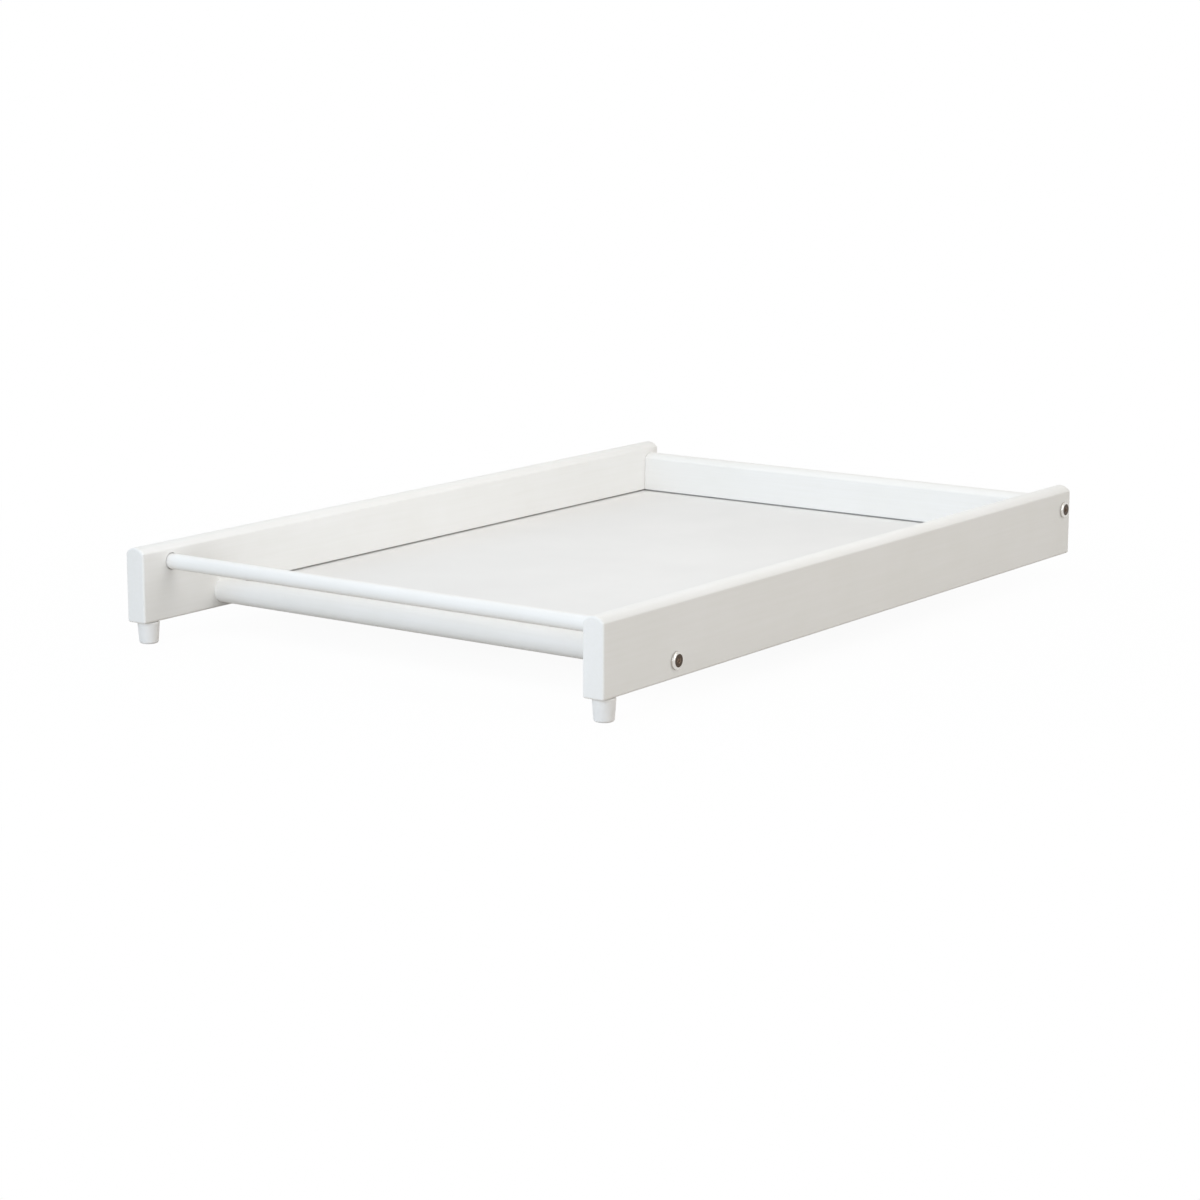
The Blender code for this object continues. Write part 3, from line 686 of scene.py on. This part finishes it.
def crowned_section(thickness, height):
    """A board's end section as a closed line, each point with the way out of the wood.

    The top is one shallow arc, and small arcs round its two creases and the lower corners. X
    runs from the middle of the thickness, and height is drawn as -Y, which the sweep lays on +Z.
    """
    half = thickness / 2
    inset = half - EDGE_ROUNDING
    crown_radius = (half * half + CROWN_RISE * CROWN_RISE) / (2 * CROWN_RISE)
    crown_centre = height - crown_radius
    crease_height = crown_centre + math.sqrt((crown_radius - EDGE_ROUNDING) ** 2 - inset**2)
    crease_angle = math.atan2(crease_height - crown_centre, inset)
    drawn = []
    for centre, radius, start, end, facets in (
        ((inset, crease_height), EDGE_ROUNDING, 0, crease_angle, EDGE_FACETS),
        ((0, crown_centre), crown_radius, crease_angle, math.pi - crease_angle, CROWN_FACETS),
        ((-inset, crease_height), EDGE_ROUNDING, math.pi - crease_angle, math.pi, EDGE_FACETS),
        ((-inset, EDGE_ROUNDING), EDGE_ROUNDING, math.pi, 1.5 * math.pi, EDGE_FACETS),
        ((inset, EDGE_ROUNDING), EDGE_ROUNDING, 1.5 * math.pi, math.tau, EDGE_FACETS),
    ):
        points = arc(centre, (radius, radius), start, end, facets)
        ways = arc((0, 0), (1, 1), start, end, facets)
        joins_last = drawn and math.dist(drawn[-1][0], points[0]) < SNUG_FIT
        drawn.extend(list(zip(points, ways))[1 if joins_last else 0 :])
    mesh = bpy.data.meshes.new("crowned section")
    count = len(drawn)
    edges = [(i, (i + 1) % count) for i in range(count)]
    mesh.from_pydata([(x, -z, 0) for (x, z), _ in drawn], edges, [])
    outward = mesh.attributes.new("outward", "FLOAT_VECTOR", "POINT")
    for value, (_, (x, z)) in zip(outward.data, drawn):
        value.vector = (x, 0, z)
    return mesh


def turned(name, profile, sides=SMALL_SIDES):
    """A closed solid turned about Z from a profile of (radius, height), with flat ends."""
    bm = bmesh.new()
    angles = [math.tau * k / sides for k in range(sides)]
    rings = [
        [bm.verts.new((radius * math.cos(a), radius * math.sin(a), height)) for a in angles]
        for radius, height in profile
    ]
    for ring, following in zip(rings, rings[1:]):
        for k in range(sides):
            bm.faces.new((ring[k - 1], ring[k], following[k], following[k - 1]))
    bm.faces.new(rings[0])
    bm.faces.new(rings[-1])
    bmesh.ops.recalc_face_normals(bm, faces=bm.faces)
    mesh = bpy.data.meshes.new(name)
    bm.to_mesh(mesh)
    bm.free()
    return mesh


def bar(diameter, start, end, arris=0, sides=SMALL_SIDES, facets=ARRIS_FACETS):
    """A round bar along Z between two heights, with its rims rounded where it has an arris."""
    radius = diameter / 2
    if not arris:
        return turned("bar", [(radius, start), (radius, end)], sides)
    lower = arc((radius - arris, start + arris), (arris, arris), -QUARTER_TURN, 0, facets)
    return turned("bar", [*lower, *eased_rim(radius, end, arris, facets)], sides)


def block(low, high, arris=0):
    """A block between two corners, with its edges rounded where it has an arris."""
    bm = bmesh.new()
    bmesh.ops.create_cube(bm, size=1)
    size = [b - a for a, b in zip(low, high)]
    bmesh.ops.scale(bm, vec=size, verts=bm.verts)
    bmesh.ops.translate(bm, vec=[(a + b) / 2 for a, b in zip(low, high)], verts=bm.verts)
    if arris:
        bmesh.ops.bevel(
            bm, geom=bm.edges, offset=arris, segments=ARRIS_FACETS, profile=0.5, affect="EDGES"
        )
    mesh = bpy.data.meshes.new("block")
    bm.to_mesh(mesh)
    bm.free()
    return mesh


def sideways(side):
    """Turns what is drawn along Z to the right for side 1, and to the left for side -1."""
    return Matrix.Rotation(side * QUARTER_TURN, 4, "Y")


ALONG_X = sideways(1)
ALONG_Y = Matrix.Rotation(-QUARTER_TURN, 4, "X")
UPRIGHT = Matrix.Identity(4)


def laid(mesh, place, direction=UPRIGHT):
    """Lays a mesh that is drawn about Z along its direction, at its place."""
    mesh.transform(Matrix.Translation(place) @ direction)
    return mesh


def stepped_bore(steps, mouth=0, sides=ROUND_SIDES):
    """A cutter along Z for a bore of one or more steps, each a diameter and a depth.

    Each step is narrower and deeper than the last. The mouth, at height 0, is eased where it
    shows.
    """
    profile = []
    start = -CUT_OVERRUN
    if mouth:
        rim = steps[0][0] / 2 + mouth
        profile = [(rim, -CUT_OVERRUN), (rim, 0)]
        start = mouth
    for diameter, depth in steps:
        profile += [(diameter / 2, start), (diameter / 2, depth)]
        start = depth
    return turned("bore", profile, sides)


def carved(name, body, cutters, operation="DIFFERENCE"):
    """Takes cutters out of a body, one after another, or joins them to it."""
    blank = bpy.data.objects.new(name, body)
    bpy.context.scene.collection.objects.link(blank)
    tools = []
    for mesh in cutters:
        tool = bpy.data.objects.new(f"{name} cutter", mesh)
        bpy.context.scene.collection.objects.link(tool)
        tools.append(tool)
        cut = blank.modifiers.new(tool.name, "BOOLEAN")
        cut.operation = operation
        cut.solver = "EXACT"
        cut.object = tool
    mesh = settled(blank)
    for tool in tools:
        bpy.data.objects.remove(tool, do_unlink=True)
    return mesh


def joined(name, mesh, places):
    """Copies of a mesh at several places, as one mesh and unturned."""
    bm = bmesh.new()
    for place in places:
        copy = mesh.copy()
        copy.transform(Matrix.Translation(place))
        bm.from_mesh(copy)
        bpy.data.meshes.remove(copy)
    whole = bpy.data.meshes.new(name)
    bm.to_mesh(whole)
    bm.free()
    return whole


def finished_piece(name, mesh, material, nodes, body="tray"):
    """A piece of the scene, shaded so that flats stay flat, in place of its nodes."""
    bm = bmesh.new()
    bm.from_mesh(mesh)
    bmesh.ops.remove_doubles(bm, verts=bm.verts, dist=WELD_DISTANCE)
    bmesh.ops.recalc_face_normals(bm, faces=bm.faces)
    bm.to_mesh(mesh)
    bm.free()
    mesh.materials.clear()
    mesh.materials.append(material)
    mesh.polygons.foreach_set("material_index", [0] * len(mesh.polygons))
    mesh.shade_smooth()
    mesh.set_sharp_from_angle(angle=SHARP_ANGLE)
    blank = bpy.data.objects.new(f"{name} blank", mesh)
    bpy.context.scene.collection.objects.link(blank)
    weigh = blank.modifiers.new("flat faces", "WEIGHTED_NORMAL")
    weigh.keep_sharp = True
    weigh.weight = FACE_AREA_WEIGHT
    piece = bpy.data.objects.new(name, settled(blank))
    piece.data.name = name
    bpy.context.scene.collection.objects.link(piece)
    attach(piece, body)
    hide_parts(*nodes)
    return piece


# Pieces

board_low, board_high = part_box("side_board_right")
rear_low, rear_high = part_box("rear_board")
panel_low, panel_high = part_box("base_panel")
thick_low, thick_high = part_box("panel_rail")
thin_low, thin_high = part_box("towel_rail")
peg_low, peg_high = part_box("locating_peg_right")
front_bolt_low, front_bolt_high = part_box("front_bolt_right")
rear_bolt_low, rear_bolt_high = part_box("rear_bolt_right")
insert_low, insert_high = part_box("threaded_insert_right")
nut_low, nut_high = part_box("barrel_nut_right")
dowel_low, dowel_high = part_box("wooden_dowel_right")

board_middle_x = (board_low.x + board_high.x) / 2
thin_middle = (thin_low + thin_high) / 2
peg_middle = (peg_low + peg_high) / 2
front_bolt_middle = (front_bolt_low + front_bolt_high) / 2
rear_bolt_middle = (rear_bolt_low + rear_bolt_high) / 2
thick_middle = Vector((0, front_bolt_middle.y, front_bolt_middle.z))
insert_middle = (insert_low + insert_high) / 2
nut_middle = (nut_low + nut_high) / 2
dowel_middle = (dowel_low + dowel_high) / 2
thick_diameter = thick_high.z - thick_low.z
thin_diameter = thin_high.z - thin_low.z
peg_diameter = peg_high.x - peg_low.x
head_diameter = front_bolt_high.z - front_bolt_low.z
insert_diameter = insert_high.z - insert_low.z
nut_diameter = nut_high.z - nut_low.z
dowel_diameter = dowel_high.z - dowel_low.z
groove_bottom = panel_low.z - GROOVE_FOOTROOM
groove_top = panel_high.z + GROOVE_HEADROOM
thin_socket_depth = thin_high.x - board_low.x + TOWEL_RAIL_END_PLAY
thick_socket_depth = thick_high.x - board_low.x + SOCKET_PLAY

lengthways_beech = lacquered_beech("white lacquered beech, grain lengthways", 1)
crossways_beech = lacquered_beech("white lacquered beech, grain crossways", 0)
panel_facing = melamine_faced_panel()
peg_plastic = moulded_polypropylene()
bolt_plating = bronze_plated_steel()
zinc_plating = zinc_plated_steel()
dowel_wood = bare_beech()

board_rule = crowned_board_rule()
bar_rule = ribbed_bar_rule()
mirror_rule = pair_rule()
nothing = bpy.data.meshes.new("nothing")


def crowned_board(name, size, end_rounding, material):
    """A crowned board along Y, centred on its own middle and standing on Z 0."""
    thickness, length, height = size
    return grown(
        name,
        crowned_section(thickness, height),
        board_rule,
        {
            "Length": length,
            "End Rounding": end_rounding,
            "Steps": END_ROUNDING_STEPS,
            "Material": material,
        },
    )


def ribbed_bar(diameter, length, ribs_round, ribs_along, depth, chamfer, sides, rings, material):
    return grown(
        "ribbed bar",
        nothing,
        bar_rule,
        {
            "Radius": diameter / 2,
            "Length": length,
            "Sides": sides,
            "Rings": rings,
            "Ribs Round": ribs_round,
            "Ribs Along": ribs_along,
            "Rib Depth": depth,
            "End Chamfer": chamfer,
            "Material": material,
        },
    )


def make_side_board(side, side_name):
    """A side board with its stopped groove, two blind rail sockets and its hidden bores."""
    through = board_high.x - board_low.x + CUT_OVERRUN

    def from_inside(place, *steps, mouth=0, sides=ROUND_SIDES):
        """A bore from the inner face outwards, on the axis of the piece that goes in."""
        cutter = stepped_bore(steps, mouth, sides)
        return laid(cutter, (side * board_low.x, place.y, place.z), sideways(side))

    board = crowned_board(
        f"side board {side_name}", board_high - board_low, SIDE_END_ROUNDING, lengthways_beech
    )
    laid(board, (side * board_middle_x, (board_low.y + board_high.y) / 2, board_low.z))
    groove_xs = sorted((side * (board_low.x - CUT_OVERRUN), side * (board_low.x + GROOVE_DEPTH)))
    groove = block(
        (groove_xs[0], panel_low.y - GROOVE_END_PLAY, groove_bottom),
        (groove_xs[1], panel_high.y + GROOVE_END_PLAY, groove_top),
    )
    peg_hole = laid(
        bar(SPIGOT_DIAMETER + 2 * SNUG_FIT, board_low.z - CUT_OVERRUN, peg_high.z + SOCKET_PLAY),
        (side * peg_middle.x, peg_middle.y, 0),
    )
    cutters = [
        groove,
        from_inside(
            thick_middle,
            (thick_diameter + 2 * SNUG_FIT, thick_socket_depth),
            (BOLT_HOLE_DIAMETER, through),
        ),
        from_inside(
            thin_middle,
            (thin_diameter + 2 * TOWEL_RAIL_CLEARANCE, thin_socket_depth),
            mouth=SOCKET_MOUTH_ARRIS,
        ),
        from_inside(
            dowel_middle,
            (dowel_diameter + 2 * SNUG_FIT, DOWEL_IN_SIDE_BOARD + SOCKET_PLAY),
            sides=SMALL_SIDES,
        ),
        from_inside(rear_bolt_middle, (BOLT_HOLE_DIAMETER, through), sides=SMALL_SIDES),
        peg_hole,
    ]
    return finished_piece(
        f"crowned_side_board_{side_name}",
        carved(f"side board {side_name}", board, cutters),
        lengthways_beech,
        [f"side_board_{side_name}"],
    )


def make_rear_board():
    """The rear board, with its groove, and its bores for the bolts, dowels and barrel nuts."""
    size = rear_high - rear_low
    board = crowned_board(
        "rear board", (size.y, size.x, size.z), REAR_END_ROUNDING, crossways_beech
    )
    laid(
        board,
        (0, (rear_low.y + rear_high.y) / 2, rear_low.z),
        Matrix.Rotation(QUARTER_TURN, 4, "Z"),
    )
    cutters = [
        block(
            (rear_low.x - CUT_OVERRUN, rear_low.y - CUT_OVERRUN, groove_bottom),
            (rear_high.x + CUT_OVERRUN, rear_low.y + GROOVE_DEPTH, groove_top),
        )
    ]
    for side in (-1, 1):
        for diameter, inner_x, place in (
            (dowel_diameter + 2 * SNUG_FIT, dowel_low.x - SOCKET_PLAY, dowel_middle),
            (BOLT_HOLE_DIAMETER, rear_bolt_low.x - CUT_OVERRUN, rear_bolt_middle),
        ):
            bore = bar(diameter, 0, rear_high.x + CUT_OVERRUN - inner_x)
            cutters.append(laid(bore, (side * inner_x, place.y, place.z), sideways(side)))
        nut_bore = bar(
            nut_diameter + 2 * SNUG_FIT, nut_low.y - SOCKET_PLAY, rear_high.y + CUT_OVERRUN
        )
        cutters.append(laid(nut_bore, (side * nut_middle.x, 0, nut_middle.z), ALONG_Y))
    return finished_piece(
        "crowned_rear_board",
        carved("rear board", board, cutters),
        crossways_beech,
        ["rear_board"],
    )


def make_base_panel():
    panel = block(panel_low, panel_high, PANEL_ARRIS)
    return finished_piece("faced_base_panel", panel, panel_facing, ["base_panel"])


def make_panel_rail():
    """The thick rail, grooved along its rear side for the panel and bored for its inserts."""
    rail = bar(thick_diameter, thick_low.x, thick_high.x, PANEL_RAIL_ARRIS, ROUND_SIDES)
    laid(rail, thick_middle, ALONG_X)
    groove_y = thick_middle.y + thick_diameter / 2 - RAIL_GROOVE_DEPTH
    cutters = [
        block(
            (thick_low.x - CUT_OVERRUN, groove_y, groove_bottom),
            (thick_high.x + CUT_OVERRUN, thick_high.y + CUT_OVERRUN, groove_top),
        )
    ]
    for side in (-1, 1):
        bore = stepped_bore(
            [
                (insert_diameter + 2 * SNUG_FIT, thick_high.x - insert_low.x + SOCKET_PLAY),
                (PILOT_DIAMETER, PILOT_DEPTH),
            ],
            sides=SMALL_SIDES,
        )
        place = (side * thick_high.x, thick_middle.y, thick_middle.z)
        cutters.append(laid(bore, place, sideways(-side)))
    return finished_piece(
        "grooved_panel_rail",
        carved("panel rail", rail, cutters),
        crossways_beech,
        ["panel_rail"],
    )


def make_towel_rail():
    rail = bar(thin_diameter, thin_low.x, thin_high.x, TOWEL_RAIL_ARRIS, ROUND_SIDES)
    laid(rail, (0, thin_middle.y, thin_middle.z), ALONG_X)
    return finished_piece(
        "round_towel_rail",
        rail,
        crossways_beech,
        ["towel_rail"],
        body="loose_rail",
    )


def pair(name, mesh, place, material, node):
    """A pair of like pieces, one at each side of the tray, as one piece of the scene."""
    both = grown(name, mesh, mirror_rule, {"Place": tuple(place), "Material": material})
    return finished_piece(name, both, material, [f"{node}_left", f"{node}_right"])


def make_locating_pegs():
    """Tapered moulded pegs with a rounded tip, a shoulder and a spigot, drawn about their axes."""
    shoulder = board_low.z - SOCKET_PLAY
    top, tip, spigot = peg_diameter / 2, PEG_TIP_DIAMETER / 2, SPIGOT_DIAMETER / 2
    lean = math.atan2(top - tip, shoulder)
    tip_centre = (tip - PEG_TIP_ROUNDING * math.cos(lean), PEG_TIP_ROUNDING)
    profile = [
        *arc(tip_centre, (PEG_TIP_ROUNDING, PEG_TIP_ROUNDING), -QUARTER_TURN, -lean, PEG_FACETS),
        *eased_rim(top, shoulder, PEG_SHOULDER_ROUNDING),
        (spigot, shoulder),
        *eased_rim(spigot, peg_high.z, SPIGOT_ARRIS),
    ]
    peg = turned("locating peg", profile, ROUND_SIDES)
    place = (peg_middle.x, peg_middle.y, 0)
    return pair(
        "moulded_locating_pegs", peg, place, peg_plastic, "locating_peg"
    )


def make_bolts(name, low, high, node):
    """Connector bolts along X: a wide bevelled head with a hexagon socket, and an M6 thread."""
    face, rim = BOLT_FACE_DIAMETER / 2, head_diameter / 2
    bevel = arc(
        (face, BOLT_RIM_HEIGHT),
        (rim - face, BOLT_HEAD_HEIGHT - BOLT_RIM_HEIGHT),
        0,
        QUARTER_TURN,
        BOLT_RIM_FACETS,
    )
    profile = [(rim, 0), *bevel, (face - SNUG_FIT, BOLT_HEAD_HEIGHT)]
    head = turned("bolt head", profile, ROUND_SIDES)

    corner = HEX_KEY_SIZE / math.sqrt(3)
    floor = BOLT_HEAD_HEIGHT - HEX_SOCKET_DEPTH
    lead_in = BOLT_HEAD_HEIGHT - HEX_LEAD_IN
    hexagon = turned(
        "hexagon socket",
        [
            (corner, floor),
            (corner, lead_in),
            (corner + HEX_LEAD_IN, BOLT_HEAD_HEIGHT),
            (corner + HEX_LEAD_IN, BOLT_HEAD_HEIGHT + CUT_OVERRUN),
        ],
        HEX_SIDES,
    )

    shank_length = high.x - low.x - BOLT_HEAD_HEIGHT
    bite = BOLT_RIM_HEIGHT / 2
    length = shank_length + bite
    shank = ribbed_bar(
        BOLT_DIAMETER,
        length,
        1,
        1 / THREAD_PITCH,
        THREAD_DEPTH,
        BOLT_END_CHAMFER,
        THREAD_SIDES,
        round(length / THREAD_PITCH * RINGS_PER_RIB),
        bolt_plating,
    )
    laid(shank, (0, 0, bite - length / 2))
    bolt = carved("bolt", carved("bolt", head, [shank], "UNION"), [hexagon])

    # The rim is painted bright, as rubbed plating and as a painted highlight, and the socket
    # partly so, but not the face or the thread
    plating_tone = bolt.attributes.new("rubbed_and_highlit", "FLOAT", "POINT")
    for vertex, rubbed_and_highlit in zip(bolt.vertices, plating_tone.data):
        radius = math.hypot(vertex.co.x, vertex.co.y)
        in_socket = floor - SNUG_FIT < vertex.co.z < BOLT_HEAD_HEIGHT - SNUG_FIT
        if radius > face - SNUG_FIT / 2:
            rubbed_and_highlit.value = 1
        elif in_socket and radius < corner + SNUG_FIT:
            rubbed_and_highlit.value = SOCKET_WEAR_AND_HIGHLIGHT
    laid(bolt, (0, 0, 0), ALONG_X)
    place = (high.x - BOLT_HEAD_HEIGHT, (low.y + high.y) / 2, (low.z + high.z) / 2)
    return pair(name, bolt, place, bolt_plating, node)


def make_threaded_inserts():
    """Barbed sleeves in the ends of the panel rail, along X."""
    length = insert_high.x - insert_low.x
    sleeve = ribbed_bar(
        insert_diameter,
        length,
        0,
        1 / INSERT_BARB_PITCH,
        INSERT_BARB_DEPTH,
        0,
        SMALL_SIDES,
        round(length / INSERT_BARB_PITCH * RINGS_PER_RIB),
        zinc_plating,
    )
    bored = carved("insert", sleeve, [bar(INSERT_BORE, -length, length)])
    laid(bored, (0, 0, 0), ALONG_X)
    return pair(
        "barbed_threaded_inserts",
        bored,
        insert_middle,
        zinc_plating,
        "threaded_insert",
    )


def make_barrel_nuts():
    """Cross nuts in the rear board, along Y, with a driver slot in the end that shows."""
    length = nut_high.y - nut_low.y
    nut = bar(nut_diameter, -length / 2, length / 2, NUT_CHAMFER, facets=1)
    laid(nut, (0, 0, 0), ALONG_Y)
    slot = block(
        (-nut_diameter, length / 2 - NUT_SLOT_DEPTH, -NUT_SLOT_WIDTH / 2),
        (nut_diameter, length / 2 + CUT_OVERRUN, NUT_SLOT_WIDTH / 2),
    )
    cross_bore = laid(bar(NUT_BORE, -nut_diameter, nut_diameter), (0, 0, 0), ALONG_X)
    return finished_piece(
        "slotted_barrel_nuts",
        joined(
            "barrel nuts",
            carved("barrel nut", nut, [cross_bore, slot]),
            [(side * nut_middle.x, nut_middle.y, nut_middle.z) for side in (-1, 1)],
        ),
        zinc_plating,
        ["barrel_nut_left", "barrel_nut_right"],
    )


def make_dowels():
    """Fluted dowels between the rear board and the side boards, along X."""
    length = dowel_high.x - dowel_low.x
    dowel = ribbed_bar(
        dowel_diameter,
        length,
        FLUTES,
        0,
        FLUTE_DEPTH,
        DOWEL_CHAMFER,
        FLUTE_SIDES,
        round(length / DOWEL_CHAMFER),
        dowel_wood,
    )
    laid(dowel, (0, 0, 0), ALONG_X)
    return pair("fluted_dowels", dowel, dowel_middle, dowel_wood, "wooden_dowel")


for board_side, board_side_name in ((-1, "left"), (1, "right")):
    make_side_board(board_side, board_side_name)
make_rear_board()
make_base_panel()
make_panel_rail()
make_towel_rail()
make_locating_pegs()
make_bolts("front_connector_bolts", front_bolt_low, front_bolt_high, "front_bolt")
make_bolts("rear_connector_bolts", rear_bolt_low, rear_bolt_high, "rear_bolt")
make_threaded_inserts()
make_barrel_nuts()
make_dowels()


# Studio


def make_camera():
    camera = bpy.data.objects.new("camera", bpy.data.cameras.new("camera"))
    camera.data.sensor_width = SENSOR_WIDTH
    camera.data.lens = FOCAL_PIXELS / FRAME_PIXELS * SENSOR_WIDTH
    camera.matrix_world = (
        Matrix.Translation(CAMERA_PLACE)
        @ Matrix.Rotation(CAMERA_HEADING, 4, "Z")
        @ Matrix.Rotation(QUARTER_TURN - CAMERA_DIP, 4, "X")
        @ Matrix.Rotation(CAMERA_ROLL, 4, "Z")
    )
    bpy.context.scene.collection.objects.link(camera)
    bpy.context.scene.camera = camera


def make_lamps():
    for name, place, target, size, colour, level in STUDIO_LAMPS:
        lamp = bpy.data.objects.new(name, bpy.data.lights.new(name, "AREA"))
        lamp.data.size = size
        lamp.data.color = linear(colour)[:3]
        lamp.data.energy = level * math.pi * size * size
        way = Vector(target) - Vector(place)
        turn = way.to_track_quat("-Z", "Y").to_matrix().to_4x4()
        lamp.matrix_world = Matrix.Translation(place) @ turn
        lamp.visible_camera = False
        bpy.context.scene.collection.objects.link(lamp)


def seen_directly(tree):
    """1 where the camera, a reflection or clear glass looks straight at a surface."""
    path = add_node(tree, "ShaderNodeLightPath").outputs
    mirrored = add_node(
        tree,
        "ShaderNodeMath",
        {0: path["Is Camera Ray"], 1: path["Is Glossy Ray"]},
        operation="MAXIMUM",
    )
    return add_node(
        tree, "ShaderNodeMath", {0: mirrored, 1: path["Is Transmission Ray"]}, operation="MAXIMUM"
    )


def make_surroundings():
    """A white studio all round, dimmer where it only lights the tray."""
    world = bpy.data.worlds.new("white studio")
    bpy.context.scene.world = world
    world.use_nodes = True
    tree = world.node_tree
    tree.nodes.clear()
    level = add_node(
        tree,
        "ShaderNodeMapRange",
        {"Value": seen_directly(tree), "To Min": AMBIENT_LEVEL, "To Max": 1},
    )
    white = add_node(
        tree, "ShaderNodeBackground", {"Color": linear("#FFFFFF"), "Strength": level}
    )
    add_node(tree, "ShaderNodeOutputWorld", {"Surface": white})


def make_floor():
    """White card that shows as pure white, but keeps a faint shadow near the tray."""
    material, tree, place = new_material("white card")
    seen = seen_directly(tree)
    tint = add_node(
        tree,
        "ShaderNodeMix",
        {
            0: seen,
            MIX_COLOUR_A: linear(FLOOR_BOUNCE_COLOUR),
            MIX_COLOUR_B: linear(FLOOR_CARD_COLOUR),
        },
        data_type="RGBA",
    )
    card = add_node(tree, "ShaderNodeBsdfDiffuse", {"Color": tint.outputs[MIX_COLOUR_OUT]})
    glow = add_node(tree, "ShaderNodeEmission", {"Color": linear("#FFFFFF"), "Strength": 1})
    scaled = add_node(
        tree,
        "ShaderNodeVectorMath",
        {0: place, "Scale": 1 / FLOOR_SHADOW_REACH},
        operation="SCALE",
    )
    near = add_node(
        tree, "ShaderNodeTexGradient", {"Vector": scaled}, gradient_type="QUADRATIC_SPHERE"
    )
    glow_share = add_node(
        tree,
        "ShaderNodeMath",
        {0: near.outputs["Fac"], 1: -FLOOR_SHADOW_SHARE, 2: 1},
        operation="MULTIPLY_ADD",
    )
    white_share = add_node(tree, "ShaderNodeMath", {0: seen, 1: glow_share}, operation="MULTIPLY")
    mixed = add_node(tree, "ShaderNodeMixShader", {0: white_share, 1: card, 2: glow})
    add_node(tree, "ShaderNodeOutputMaterial", {"Surface": mixed})
    half = FLOOR_SIZE / 2
    mesh = bpy.data.meshes.new("floor")
    corners = [(-half, -half, 0), (half, -half, 0), (half, half, 0), (-half, half, 0)]
    mesh.from_pydata(corners, [], [(0, 1, 2, 3)])
    mesh.materials.append(material)
    floor = bpy.data.objects.new("floor", mesh)
    bpy.context.scene.collection.objects.link(floor)


make_camera()
make_lamps()
make_surroundings()
make_floor()
bpy.context.scene.view_settings.view_transform = "Standard"
